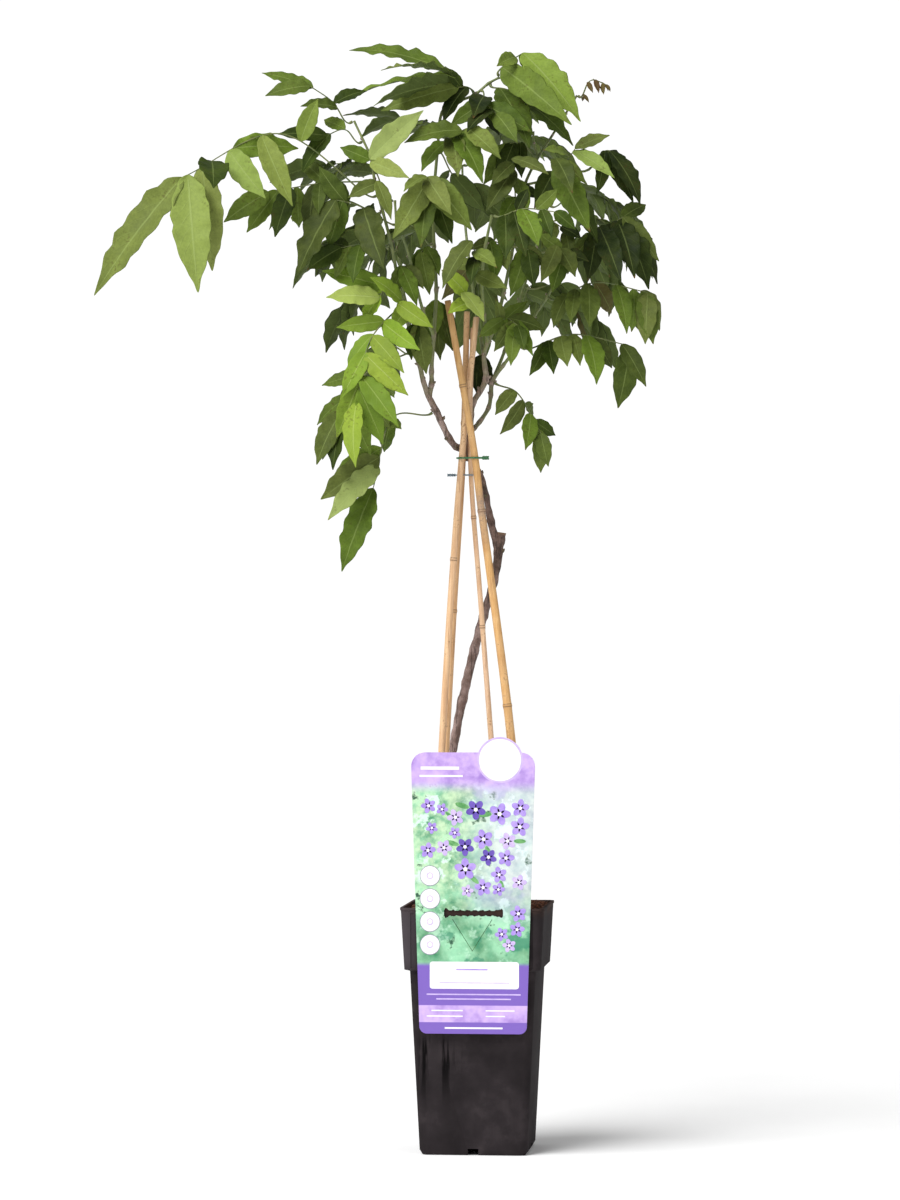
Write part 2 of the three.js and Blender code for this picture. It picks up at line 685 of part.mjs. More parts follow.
function potBody() {
  const p = POT;
  const collarFoot = p.height - p.collarDrop;
  const underFloor = p.feet;
  const floorTop = p.feet + p.floor;
  const skirt = p.bodyFootHalf - p.skirt.inset;
  const bandTopHalf = p.rimHalf - p.lipStep;
  const profile = [
    [0, 0], [p.bossHalf, 0], [p.bossHalf, underFloor],
    [skirt, underFloor], [skirt - p.skirt.taper, 0], [p.soleHalf, 0], [p.bodyFootHalf, p.chamfer],
    [p.bodyTopHalf, collarFoot - p.collarStep], [p.collarFootHalf, collarFoot],
    [bandTopHalf, p.height - p.rimLipHeight], [p.rimHalf, p.height - p.rimLipHeight + p.lipStep],
    [p.rimHalf, p.height], [p.rimHalf - p.rimLip, p.height],
    [p.rimHalf - p.rimLip, p.height - p.rimLipHeight],
    [p.collarFootHalf - p.wall, collarFoot + p.collarStep],
    [p.bodyTopHalf - p.wall, collarFoot - p.collarStep],
    [p.bodyFootHalf - p.wall, floorTop], [0, floorTop],
  ];
  let pot = squareTurned(profile);
  const [notchWidth, notchHeight] = p.notch;
  const sideways = [-notchWidth / 2, notchWidth / 2];
  const deep = [skirt - p.wall, p.bodyFootHalf + p.wall];
  const away = [-deep[1], -deep[0]];
  for (const reach of [deep, away]) {
    pot = pot.subtract(block(sideways, reach, [-1, notchHeight]));
    pot = pot.subtract(block(reach, sideways, [-1, notchHeight]));
  }
  for (const x of [-p.drain.from, p.drain.from]) {
    for (const y of [-p.drain.from, p.drain.from]) {
      const { radius, sides } = p.drain;
      const hole = new THREE.CylinderGeometry(radius, radius, p.feet, sides);
      pot = pot.subtract(solid(hole.rotateX(Math.PI / 2).translate(x, y, p.feet)));
    }
  }
  const { width, depth, fromCorner } = p.groove;
  const lean = Math.atan((bandTopHalf - p.collarFootHalf) / (p.collarDrop - p.rimLipHeight));
  for (const quarter of [0, 1, 2, 3]) {
    for (const end of [-1, 1]) {
      const groove = new THREE.BoxGeometry(width, 2 * depth, p.groove.height);
      groove.translate(end * (p.collarFootHalf - fromCorner), 0, 0).rotateX(lean);
      const middle = (p.height - p.rimLipHeight + collarFoot) / 2;
      groove.translate(0, -(p.collarFootHalf + bandTopHalf) / 2, middle);
      pot = pot.subtract(solid(groove.rotateZ((quarter * Math.PI) / 2)));
    }
  }
  return pot;
}

// Two sets of waves, about 35 and 12 mm from crest to crest.
function soilBump(x, y) {
  const coarse = 0.62 * Math.sin(0.19 * x + 1.3) * Math.cos(0.16 * y + 0.4);
  const fine = 0.38 * Math.sin(0.41 * x - 0.33 * y);
  return SOIL.bumps * (coarse + fine);
}

function soilBody(buried, hook) {
  const p = POT;
  const collarFoot = p.height - p.collarDrop;
  const inner = p.bodyTopHalf - p.wall - GAP;
  const profile = [
    [0, p.feet + p.floor + GAP], [p.bodyFootHalf - p.wall - GAP, p.feet + p.floor + GAP],
    [inner, collarFoot - p.collarStep + GAP],
    [p.collarFootHalf - p.wall - GAP, collarFoot + p.collarStep + GAP],
    [SOIL.edgeHalf, SOIL.edge],
    ...SOIL.rings.map((half, i) => [half, SOIL.level + (i < 2 ? 0 : SOIL.mound)]),
    [0, SOIL.level],
  ];
  let soil = solid(moved(geometryOf(squareTurned(profile)), (point) => {
    const top = point.z > SOIL.edge + 1;
    return new THREE.Vector3(point.x, point.y, point.z + (top ? soilBump(point.x, point.y) : 0));
  }));
  for (const hole of buried) soil = soil.subtract(hole);
  return soil.subtract(hook);
}

function tagOutline() {
  const t = TAG;
  const feet = [t.middle - t.footHalf, t.middle + t.footHalf];
  const tops = [t.middle - t.topHalf, t.middle + t.topHalf];
  const lean = (t.topHalf - t.footHalf) / (t.top - t.foot);
  const [low, high] = [lean * t.footRadius, lean * t.topRadius];
  const outline = new THREE.Shape();
  outline.moveTo(feet[0] + t.footRadius, t.foot);
  outline.lineTo(feet[1] - t.footRadius, t.foot);
  outline.quadraticCurveTo(feet[1], t.foot, feet[1] + low, t.foot + t.footRadius);
  outline.lineTo(tops[1] - high, t.top - t.topRadius);
  outline.quadraticCurveTo(tops[1], t.top, tops[1] - t.topRadius, t.top);
  outline.lineTo(tops[0] + t.topRadius, t.top);
  outline.quadraticCurveTo(tops[0], t.top, tops[0] + high, t.top - t.topRadius);
  outline.lineTo(feet[0] - low, t.foot + t.footRadius);
  outline.quadraticCurveTo(feet[0], t.foot, feet[0] + t.footRadius, t.foot);
  return outline;
}

// The tag's tongue: back over the rim, then down behind it. Room widens it into the soil's recess.
function tagTongue(room) {
  const t = TAG;
  const half = t.tongue.width / 2 + room;
  const across = [t.slot.middle - half, t.slot.middle + half];
  const over = POT.height + GAP;
  const back = t.front + t.tongue.over;
  const bridge = block(across, [t.front, back + room], [over - room, over + t.thickness + room]);
  const drop = [over - t.tongue.down - room, over + t.thickness + room];
  return bridge.add(block(across, [back - t.thickness - room, back + room], drop));
}

function tagBody() {
  const t = TAG;
  const upright = (geometry) => geometry.rotateX(Math.PI / 2).translate(0, t.front + t.thickness, 0);
  const card = new THREE.ExtrudeGeometry(tagOutline(), {
    depth: t.thickness, bevelEnabled: false, curveSegments: t.cornerSteps,
  });
  const { radius, sides } = t.badge;
  const badge = new THREE.CylinderGeometry(radius, radius, t.thickness, sides);
  badge.translate(t.badge.across, t.front + t.thickness / 2, t.badge.height);
  const slotTop = POT.height + GAP;
  const { middle, width, height } = t.slot;
  const slot = block(
    [middle - width / 2, middle + width / 2],
    [t.front - GAP, t.front + t.thickness + GAP],
    [slotTop - height, slotTop],
  );
  return solid(upright(card)).add(solid(badge)).subtract(slot).add(tagTongue(0));
}

// ---------------------------------------------------------------- canes and ties

function caneCurve(route) {
  return new THREE.CatmullRomCurve3(route.map(plantPoint), false, "centripetal");
}

function caneBody({ route, radii, nodes }, room) {
  const curve = caneCurve(route);
  const length = curve.getLength();
  const [bottom, top] = [route[0][2], route[route.length - 1][2]];
  const radiusAt = (along) => THREE.MathUtils.lerp(radii[0], radii[1], along / length) + room;
  const rings = [[0, radiusAt(0)], [length, radiusAt(length)]];
  for (const height of nodes) {
    const along = (length * (height - bottom)) / (top - bottom);
    const [below, above] = [along - CANE.nodeHalf, along + CANE.nodeHalf];
    rings.push([below, radiusAt(below)]);
    rings.push([along, radiusAt(along) + CANE.nodeSwell]);
    rings.push([above, radiusAt(above)]);
  }
  for (const [, , height] of route.slice(1, -1)) {
    const along = (length * (height - bottom)) / (top - bottom);
    rings.push([along, radiusAt(along)]);
  }
  rings.sort((one, other) => one[0] - other[0]);
  return limb(curve, rings, CANE.sides);
}

// Where a curve passes a height, and how thick the cane or shoot is there.
function crossing(curve, radii, height) {
  const steps = 400;
  for (let i = 0; i <= steps; i += 1) {
    const point = curve.getPointAt(i / steps);
    if (point.z >= height) {
      const radius = THREE.MathUtils.lerp(radii[0], radii[1], i / steps);
      return { x: point.x, y: point.y, radius: radius / curve.getTangentAt(i / steps).z };
    }
  }
  throw new Error("the curve ends below that height");
}

// A wire drawn round a bundle, its two ends twisted together. The loop is the hull of the bundle's
// circles: at each angle it lies against the circle that reaches furthest that way.
function tieBody({ height, wire, twist, turned, steps }, bundle) {
  const room = wire + GAP + TIE.slack;
  const hull = (angle) => {
    const [nx, ny] = [Math.cos(angle), Math.sin(angle)];
    const reach = (circle) => circle.x * nx + circle.y * ny + circle.radius;
    const outermost = bundle.reduce((best, circle) => (reach(circle) > reach(best) ? circle : best));
    const out = outermost.radius + room;
    return new THREE.Vector3(outermost.x + out * nx, outermost.y + out * ny, height);
  };
  const start = hull(turned);
  const out = new THREE.Vector3(Math.cos(turned), Math.sin(turned), 0);
  const side = new THREE.Vector3(-out.y, out.x, 0);
  const strand = (phase) => {
    const points = [];
    const apart = wire * TIE.twistApart;
    for (let i = 0; i <= TIE.twistPoints; i += 1) {
      const angle = phase + i * TWIST_STEP;
      const reach = wire * TIE.twistFrom + (twist * i) / TIE.twistPoints;
      const centre = start.clone().addScaledVector(out, reach);
      centre.addScaledVector(side, Math.cos(angle) * apart);
      points.push(centre.add(new THREE.Vector3(0, 0, Math.sin(angle) * apart)));
    }
    return points;
  };
  const loop = [];
  for (let i = 1; i < TIE.loopPoints; i += 1) {
    loop.push(hull(turned + (i * 2 * Math.PI) / TIE.loopPoints));
  }
  const route = [...strand(0).reverse(), ...loop, ...strand(Math.PI)];
  const path = new THREE.CatmullRomCurve3(route, false, "centripetal");
  const section = new THREE.Shape();
  for (let k = 0; k < TIE.sides; k += 1) {
    const angle = (k * 2 * Math.PI) / TIE.sides;
    const corner = [wire * Math.cos(angle), wire * Math.sin(angle)];
    if (k === 0) section.moveTo(...corner);
    else section.lineTo(...corner);
  }
  return solid(new THREE.ExtrudeGeometry(section, {
    steps, extrudePath: path, bevelEnabled: false,
  }));
}

// ---------------------------------------------------------------- woody stem

function shootCurve(name) {
  return new THREE.CatmullRomCurve3(STEMS[name].map(plantPoint), false, "centripetal");
}

function shootRings(name, room) {
  const bends = STEMS[name];
  const curve = shootCurve(name);
  const fine = 20;
  const lengths = curve.getLengths(fine * (bends.length - 1));
  const rings = [];
  bends.forEach(([, , , radius], i) => {
    const along = lengths[fine * i];
    const last = rings[rings.length - 1];
    if (last && along - last[0] > SHOOT.ringEvery) {
      rings.push([(last[0] + along) / 2, (last[1] + radius + room) / 2]);
    }
    rings.push([along, radius + room]);
  });
  return rings;
}

function shootBody(name, room = 0) {
  const sides = name === "trunk" ? SHOOT.trunkSides : SHOOT.sides;
  return limb(shootCurve(name), shootRings(name, room), sides);
}

// ---------------------------------------------------------------- fronds

// A repeatable number from 0 to 1 for each whole number.
function chance(number) {
  const value = Math.sin(number * 12.9898 + 4.137) * 43758.5453;
  return value - Math.floor(value);
}

// The stalk of a frond leaves its shoot square to it, clear of the bark, and bends on to its end.
function stalkCurve({ stem, at, through, tip }) {
  const bends = STEMS[stem];
  const curve = shootCurve(stem);
  const place = Math.min(at / (bends.length - 1), 1);
  const centre = curve.getPoint(place);
  const tangent = curve.getTangent(place);
  const bend = Math.min(Math.floor(at), bends.length - 2);
  const radius = THREE.MathUtils.lerp(bends[bend][3], bends[bend + 1][3], Math.min(at - bend, 1));
  const towards = plantPoint(through).sub(centre);
  const out = towards.clone().addScaledVector(tangent, -towards.dot(tangent)).normalize();
  const foot = centre.clone().addScaledVector(out, radius + GAP);
  const square = Math.min(STALK.rise, towards.length() * STALK.riseShare);
  const rise = foot.clone().addScaledVector(out, square);
  const points = [foot, rise, plantPoint(through), plantPoint(tip)];
  return new THREE.CatmullRomCurve3(points, false, "centripetal");
}

// A place on the stalk's middle line, which runs straight from ring to ring.
function stalkPoint(curve, share) {
  const ring = Math.min(share, 1 - STALK.end / curve.getLength()) * (STALK.rings - 1);
  const low = Math.min(Math.floor(ring), STALK.rings - 2);
  const from = curve.getPointAt(low / (STALK.rings - 1));
  return from.lerp(curve.getPointAt((low + 1) / (STALK.rings - 1)), ring - low);
}

function stalkBody(curve, room = 0) {
  const length = curve.getLength();
  const rings = [];
  for (let i = 0; i < STALK.rings; i += 1) {
    const share = i / (STALK.rings - 1);
    rings.push([share * length, THREE.MathUtils.lerp(STALK.foot, STALK.tip, share) + room]);
  }
  return limb(curve, rings, STALK.sides);
}

// One leaflet: a lathe laid from base to tip. Two of its edges are drawn out as the margins, folded up
// and waved, and the third is the rib that stands out below. A roomy one has a fourth edge above.
function leafletBody(outline, base, tip, face, turn, number, room = 0) {
  const along = tip.clone().sub(base);
  const length = along.length();
  along.normalize();
  const normal = face.clone().addScaledVector(along, -face.dot(along)).normalize();
  normal.applyAxisAngle(along, turn + LEAF.spread * (2 * chance(number) - 1));
  const across = along.clone().cross(normal);
  const plump = LEAF.plump[0] + LEAF.plump[1] * chance(number + 0.5);
  const half = (plump * LEAF.widthScale * length ** LEAF.widthPower) / 2 + room;
  const points = outline.map(([share, width]) => new THREE.Vector2(width, share));
  const waveAt = new Map(outline.map(([share, , wave]) => [Math.fround(share), wave]));
  const sides = room > 0 ? 4 : 3;
  const lathe = new THREE.LatheGeometry(points, sides, room > 0 ? 0 : Math.PI);
  const widest = room > 0 ? 1 : Math.sin((2 * Math.PI) / 3);
  return solid(moved(lathe, (point) => {
    const share = point.y;
    const margin = Math.abs(point.x) / widest;
    const lift = LEAF.arch * length * 4 * share * (1 - share);
    const wave = waveAt.get(share) * Math.sign(point.x);
    const blade = (LEAF.fold + LEAF.wave * wave) * margin * half;
    const rib = (LEAF.rib + room) * Math.sign(Math.round(point.z * 1e4));
    const height = Math.abs(point.x) > 1e-4 ? blade : rib;
    const reach = share * length - (share === 0 ? LEAF.sunk : 0);
    return base.clone()
      .addScaledVector(along, reach)
      .addScaledVector(across, margin * half * Math.sign(point.x))
      .addScaledVector(normal, lift + height);
  }));
}

// Leaflets of an inner frond follow a rule: opposite pairs from its middle to its end, then one at
// the end, turned down as far as the frond hangs.
function pairedLeaflets({ through, pairs, length, hang }, curve, seed) {
  const leaflets = [];
  const outward = plantPoint(through).setZ(0).normalize();
  const face = outward.multiplyScalar(hang).add(new THREE.Vector3(0, 0, PAIRS.lift - hang));
  for (let i = 0; i < pairs; i += 1) {
    for (const side of [1, -1]) {
      const share = PAIRS.from + (PAIRS.over * (i + side * PAIRS.stagger)) / (pairs - 1);
      const tangent = curve.getTangentAt(share);
      const sideways = tangent.clone().cross(new THREE.Vector3(0, 0, 1)).normalize();
      const number = seed + 2 * i + (side + 1) / 2;
      const direction = sideways.clone().multiplyScalar(side * (1 - PAIRS.drawIn * hang))
        .addScaledVector(tangent, PAIRS.forward)
        .add(new THREE.Vector3(0, 0, -hang));
      const reach = length * (PAIRS.reach[0] + PAIRS.reach[1] * chance(number + 0.25));
      leaflets.push({ share, target: direction.setLength(reach), face, turn: 0, number });
    }
  }
  const end = curve.getTangentAt(1).add(new THREE.Vector3(0, 0, -PAIRS.lastHang * hang));
  const last = end.setLength(length * PAIRS.lastReach);
  leaflets.push({ share: 1, target: last, face, turn: 0, number: seed + 2 * pairs });
  return leaflets;
}

function listedLeaflets({ leaflets, face }, curve, seed) {
  return leaflets.map(([share, across, front, height, turn = 0], i) => ({
    share,
    target: plantPoint([across, front, height]).sub(stalkPoint(curve, share)),
    face: plantPoint(face),
    turn,
    number: seed + i,
  }));
}

function boxesMeet(one, other) {
  return [0, 1, 2].every((k) => one.min[k] <= other.max[k] && other.min[k] <= one.max[k]);
}

function touches(body, obstacles, allowed) {
  const box = body.boundingBox();
  return obstacles.some((obstacle) => (
    boxesMeet(box, obstacle.box) && body.intersect(obstacle.body).volume() > allowed
  ));
}

function obstacle(body) {
  return { body, box: body.boundingBox() };
}

// Grows the leaflets of one frond, each in the first place of its swings that is clear.
function frondBody(frond, curve, seed, others) {
  const place = frond.leaflets ? listedLeaflets : pairedLeaflets;
  const outline = frond.leaflets ? FULL_OUTLINE : SHORT_OUTLINE;
  const own = [];
  const pieces = [stalkBody(curve)];
  for (const { share, target, face, turn, number } of place(frond, curve, seed)) {
    const base = stalkPoint(curve, share);
    const choices = SHORTENED.flatMap((size) => SWINGS.map((swing) => ({ size, swing })));
    const fits = ({ size, swing }) => {
      const tip = base.clone().addScaledVector(target, size).add(new THREE.Vector3(0, -swing, 0));
      const wide = leafletBody(outline, base, tip, face, turn, number, CLEAR);
      const slim = leafletBody(outline, base, tip, face, turn, number);
      return !touches(wide, others, MAY_SHARE.others) && !touches(slim, own, MAY_SHARE.own);
    };
    const choice = choices.find(fits);
    if (!choice) continue;
    const swung = new THREE.Vector3(0, -choice.swing, 0);
    const tip = base.clone().addScaledVector(target, choice.size).add(swung);
    const leaflet = leafletBody(outline, base, tip, face, turn, number);
    own.push(obstacle(leaflet));
    pieces.push(leaflet);
  }
  return { whole: largest(joined(pieces)), leaflets: own };
}

// ---------------------------------------------------------------- assembly

const wisteria = new THREE.Group();
const plant = new THREE.Group();
plant.rotation.z = THREE.MathUtils.degToRad(PLANT_TURN);
plant.updateMatrixWorld();
const turned = (body) => solid(geometryOf(body).applyMatrix4(plant.matrixWorld));

wisteria.add(named("pot", potBody(), 0x343032, 0.42));
const buried = Object.values(CANES).map((cane) => turned(caneBody(cane, GAP)));
buried.push(turned(shootBody("trunk", GAP)));
wisteria.add(named("soil", soilBody(buried, tagTongue(GAP)), 0x5a3a28, 0.95));
wisteria.add(named("tag", tagBody(), 0xb9a3dc, 0.5));

const canes = Object.entries(CANES).map(([name, cane]) => [name, caneBody(cane, 0)]);
for (const [name, body] of canes) plant.add(named(name, body, 0xd9ad70, 0.6));

const shoots = Object.keys(STEMS).map((name) => shootBody(name));
plant.add(named("woody_stem", joined(shoots), 0x7d6656, 0.85));

for (const [name, tie] of Object.entries(TIES)) {
  const bundle = tie.holds.map((held) => {
    if (held !== "trunk") return crossing(caneCurve(CANES[held].route), CANES[held].radii, tie.height);
    const [foot, head] = [STEMS.trunk[0], STEMS.trunk[STEMS.trunk.length - 1]];
    return crossing(shootCurve("trunk"), [foot[3], head[3]], tie.height);
  });
  plant.add(named(name, tieBody(tie, bundle), tie.colour, 0.5));
}

const fronds = [...FRONDS, ...INNER_FRONDS].map((frond, i) => {
  const curve = stalkCurve(frond);
  return { frond, curve, seed: SEED_STEP * (i + 1), stalk: obstacle(stalkBody(curve, STALK.room)) };
});
const standing = [...canes.map(([, body]) => obstacle(body)), ...shoots.map(obstacle)];
const grown = [];
for (const { frond, curve, seed, stalk } of fronds) {
  const others = [...standing, ...grown];
  for (const other of fronds) if (other.stalk !== stalk) others.push(other.stalk);
  const { whole, leaflets } = frondBody(frond, curve, seed, others);
  grown.push(...leaflets);
  plant.add(named(frond.name, whole, 0x55752f, 0.55));
}
wisteria.add(plant);

export default wisteria;
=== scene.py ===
# %% [markdown]
# # A young wisteria in a pot
# A nursery sells its wisterias as a small standard: one grafted stem tied to four bamboo canes, a crown
# of feathery leaves above, and a square plastic pot below with a printed card hooked over its rim.
# The measured model of the plant is loaded first. It fixes where everything stands, and each cell after
# this one makes a finer piece in the place of one of its parts.

import bisect
import math
import random

import bmesh
import bpy
from mathutils import Matrix, Quaternion, Vector, noise
from mathutils.kdtree import KDTree


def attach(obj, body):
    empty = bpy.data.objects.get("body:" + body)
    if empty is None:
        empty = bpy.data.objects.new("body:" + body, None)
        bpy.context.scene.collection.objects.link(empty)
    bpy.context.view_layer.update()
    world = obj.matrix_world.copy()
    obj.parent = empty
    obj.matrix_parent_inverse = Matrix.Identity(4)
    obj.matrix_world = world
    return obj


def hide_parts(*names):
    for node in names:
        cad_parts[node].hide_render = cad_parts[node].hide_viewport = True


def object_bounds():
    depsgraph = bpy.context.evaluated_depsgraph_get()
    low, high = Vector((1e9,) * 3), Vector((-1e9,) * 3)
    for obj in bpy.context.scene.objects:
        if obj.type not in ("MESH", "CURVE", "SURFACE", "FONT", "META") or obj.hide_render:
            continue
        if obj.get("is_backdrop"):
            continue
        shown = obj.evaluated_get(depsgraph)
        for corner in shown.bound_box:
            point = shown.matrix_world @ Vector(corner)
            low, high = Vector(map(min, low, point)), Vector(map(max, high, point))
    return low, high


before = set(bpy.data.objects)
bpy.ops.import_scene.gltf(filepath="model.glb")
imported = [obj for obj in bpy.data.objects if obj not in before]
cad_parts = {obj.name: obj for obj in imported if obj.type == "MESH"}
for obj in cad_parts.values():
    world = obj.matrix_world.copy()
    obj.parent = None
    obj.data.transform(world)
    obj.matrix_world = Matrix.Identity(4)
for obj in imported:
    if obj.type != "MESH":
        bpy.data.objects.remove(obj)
boxes = {"cad": [list(corner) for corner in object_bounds()]}
random.seed(7)
print(len(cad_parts), "parts in the measured model, box", boxes["cad"])

# %% [markdown]
# ## Millimetres and metres
# Blender counts in metres, but a leaf stalk one millimetre thick is easier to think about in
# millimetres. So every piece is built in millimetres and shrunk once, when it becomes an object. The
# plant was potted slightly askew: its front is turned a few degrees from the pot's front. Places on it
# are written as across, to the front and up, and the same last step turns them. It also keeps every
# point inside the measured model's box, where a wavy leaf margin would cross it by a millimetre.

# %% From a mesh under construction to an object
MM = 0.001
ASKEW = math.radians(5.6)
TO_POT = Matrix.Diagonal((MM, MM, MM, 1))
TO_PLANT = Matrix.Rotation(ASKEW, 4, "Z") @ TO_POT
USUAL_ANGLE = 40


def plant(place):
    across, front, up = place
    return Vector((across, -front, up))


def clamp(value, low=0.0, high=1.0):
    return min(max(value, low), high)


def as_mesh(name, bm):
    mesh = bpy.data.meshes.new(name)
    bm.to_mesh(mesh)
    bm.free()
    return mesh


def as_object(name, data):
    made = bpy.data.objects.new(name, data)
    bpy.context.scene.collection.objects.link(made)
    return made


def shade(mesh, sharp):
    mesh.shade_smooth()
    if sharp:
        mesh.set_sharp_from_angle(angle=math.radians(sharp))


def make_piece(name, bm, materials, nodes=(), to=TO_POT, sharp=USUAL_ANGLE):
    bmesh.ops.recalc_face_normals(bm, faces=bm.faces)
    bmesh.ops.transform(bm, matrix=to, verts=bm.verts)
    for vertex in bm.verts:
        vertex.co = [clamp(at, low, high) for at, low, high in zip(vertex.co, *boxes["cad"])]
    mesh = as_mesh(name, bm)
    for material in materials:
        mesh.materials.append(material)
    shade(mesh, sharp)
    made = as_object(name, mesh)
    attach(made, "root")
    if nodes:
        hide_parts(*nodes)
    print(name, "has", len(mesh.polygons), "faces")
    return made


# %% [markdown]
# ## Shader helpers
# Every finish here is a small tree of shader nodes. Writing such a tree takes the same moves again and
# again: add a node, put a number or another node's output into its sockets, and mix two colours by a
# mask. A few helpers make those moves short enough to read: a coat is a colour laid over another
# through a mask, and a ramp is a straight line through a value.

# %% Short ways to write shader nodes
def plug(tree, node, sockets):
    for socket, value in sockets.items():
        if isinstance(value, bpy.types.NodeSocket):
            tree.links.new(value, node.inputs[socket])
        else:
            node.inputs[socket].default_value = value


def add(tree, kind, sockets=None, **settings):
    made = tree.nodes.new("ShaderNode" + kind)
    for setting, value in settings.items():
        setattr(made, setting, value)
    plug(tree, made, sockets or {})
    return made


def opaque(colour):
    return colour if isinstance(colour, bpy.types.NodeSocket) else (*colour, 1)


def mix(tree, mask, low, high, blend="MIX"):
    sockets = {0: mask, 6: opaque(low), 7: opaque(high)}
    return add(tree, "Mix", sockets, data_type="RGBA", blend_type=blend).outputs[2]


def coat(tree, colour, *coats):
    for mask, tint in coats:
        colour = mix(tree, mask, colour, tint)
    return colour


def maths(tree, operation, *values):
    return add(tree, "Math", dict(enumerate(values)), operation=operation).outputs[0]


def ramp(tree, value, slope, start):
    return maths(tree, "MULTIPLY_ADD", value, slope, start)


def between(tree, value, low, high, to_low=0.0, to_high=1.0):
    sockets = {"Value": value, "From Min": low, "From Max": high, "To Min": to_low, "To Max": to_high}
    return add(tree, "MapRange", sockets, interpolation_type="SMOOTHSTEP").outputs["Result"]


def both(tree, *masks):
    product = masks[0]
    for mask in masks[1:]:
        product = maths(tree, "MULTIPLY", product, mask)
    return product


def attribute(tree, name):
    return add(tree, "Attribute", attribute_name=name).outputs["Fac"]


def place_on(tree):
    return add(tree, "TexCoord").outputs["Object"]


def axes(tree):
    return add(tree, "SeparateXYZ", {0: place_on(tree)}).outputs


def clouds(tree, scale, detail=3.0):
    return add(tree, "TexNoise", {"Vector": place_on(tree), "Scale": scale, "Detail": detail}).outputs["Fac"]


def new_finish(name):
    material = bpy.data.materials.new(name)
    material.use_nodes = True
    return material, material.node_tree


def lay(tree, colour, roughness, height=None, strength=0.5, distance=0.0005, specular=0.5):
    sockets = {"Base Color": colour, "Roughness": roughness, "Specular IOR Level": specular}
    if height is not None:
        bump = add(tree, "Bump", {"Height": height, "Strength": strength, "Distance": distance})
        sockets["Normal"] = bump.outputs["Normal"]
    plug(tree, tree.nodes["Principled BSDF"], sockets)


print("Shader helpers are ready")

# %% [markdown]
# ## Two patterns that several finishes share
# Nothing grown or moulded has one flat colour. Two patterns cover most of it: soft blotches, and streaks
# that run up and down, as the grain of bark and bamboo does. Each is a node group, built once, with its
# scale as an input, so that every finish sets its own size of blotch or streak.

# %% Blotches and streaks
def give_back(group, results):
    for title in results:
        group.interface.new_socket(title, in_out="OUTPUT", socket_type="NodeSocketFloat")
    plug(group, group.nodes.new("NodeGroupOutput"), results)


def pattern_group(name, stretch):
    group = bpy.data.node_groups.new(name, "ShaderNodeTree")
    group.interface.new_socket("Scale", in_out="INPUT", socket_type="NodeSocketFloat")
    scale = group.nodes.new("NodeGroupInput").outputs["Scale"]
    along = add(group, "Mapping", {"Vector": place_on(group), "Scale": (1, 1, stretch)}).outputs["Vector"]
    sockets = {"Vector": along, "Scale": scale, "Detail": 5.0, "Roughness": 0.6}
    noisy = add(group, "TexNoise", sockets).outputs["Fac"]
    give_back(group, {"Soft": between(group, noisy, 0.3, 0.7), "Crisp": between(group, noisy, 0.54, 0.62)})
    return group


BLOTCHES = pattern_group("blotches", 1.0)
STREAKS = pattern_group("streaks", 0.06)


def pattern(tree, group, scale):
    made = add(tree, "Group", {"Scale": scale}, node_tree=group).outputs
    return made["Soft"], made["Crisp"]


def plain_finish(name, scale, colour, other, roughness):
    made, tree = new_finish(name)
    soft, _ = pattern(tree, BLOTCHES, scale)
    lay(tree, mix(tree, soft, colour, other), roughness)
    return made


print("Pattern groups:", [group.name for group in bpy.data.node_groups])

# %% [markdown]
# ## The finish of the pot
# Nursery pots are moulded from recycled black polypropylene. The skin is matt, with a fine moulded
# grain, pale rub marks, a painted highlight on the left end of the band, and damp splashes where water
# ran down from the foot of the card. The splashes are streaks whose mask fades out above, beside and
# behind that place.

# %% Black pot plastic
pot_plastic, tree = new_finish("black pot plastic")
soft, crisp = pattern(tree, BLOTCHES, 22.0)
rubbed, _ = pattern(tree, STREAKS, 90.0)
across, deep, up = axes(tree)
low = both(
    tree, between(tree, up, 0.105, 0.09), between(tree, up, 0.035, 0.075), between(tree, deep, 0.0, -0.03)
)
left = both(tree, between(tree, across, -0.050, -0.040), between(tree, across, -0.004, -0.024))
# painted highlight: the left end of the band is paler where the light from the left falls on it
lit_band_end = both(tree, between(tree, across, -0.030, -0.058), between(tree, up, 0.145, 0.165))
colour = coat(
    tree, mix(tree, soft, (0.0150, 0.0122, 0.0132), (0.0300, 0.0245, 0.0265)),
    (both(tree, rubbed, crisp), (0.038, 0.031, 0.033)),  # rub marks
    (both(tree, lit_band_end, 0.6), (0.075, 0.064, 0.072)),  # painted highlight on the left end of the band
    (both(tree, low, left, between(tree, rubbed, 0.45, 0.7)), (0.0030, 0.0024, 0.0026)),  # splashes
    (both(tree, between(tree, up, 0.196, 0.204), soft, 0.7), (0.075, 0.038, 0.024)),  # soil on the rim
)
matt, grain = between(tree, soft, 0.0, 1.0, 0.74, 0.88), clouds(tree, 1800.0)
lay(tree, colour, matt, grain, strength=0.12, distance=0.0002, specular=0.06)
print("Made", pot_plastic.name)

# %% [markdown]
# ## The pot
# The pot is a square bucket with round corners. On the lathe a bucket would be a profile spun round its
# axis, and here the same profile is walked by a square ring: one plane with its four corners bevelled
# round gives the ring, and each step of the profile extrudes its edges and moves each corner outwards
# and up. That keeps the corners equally round from the foot to the rim, as scaling would not.

# %% The profile of the pot and its walls
CORNER = 6.5
POT_PROFILE = [  # half of the width, height
    (12, 0), (12, 6), (41.7, 6), (41.3, 0), (43, 0), (45.2, 4), (52.5, 153.2), (56.8, 154.5),
    (59.4, 203.5), (60, 204.1), (60, 206), (57.6, 206), (57.6, 203.5), (55.2, 155.8), (50.9, 153.2),
    (43.6, 7.5),
]


def extrude(bm, edges):
    grown = bmesh.ops.extrude_edge_only(bm, edges=edges)["geom"]
    kinds = (bmesh.types.BMVert, bmesh.types.BMEdge)
    return ([item for item in grown if isinstance(item, kind)] for kind in kinds)


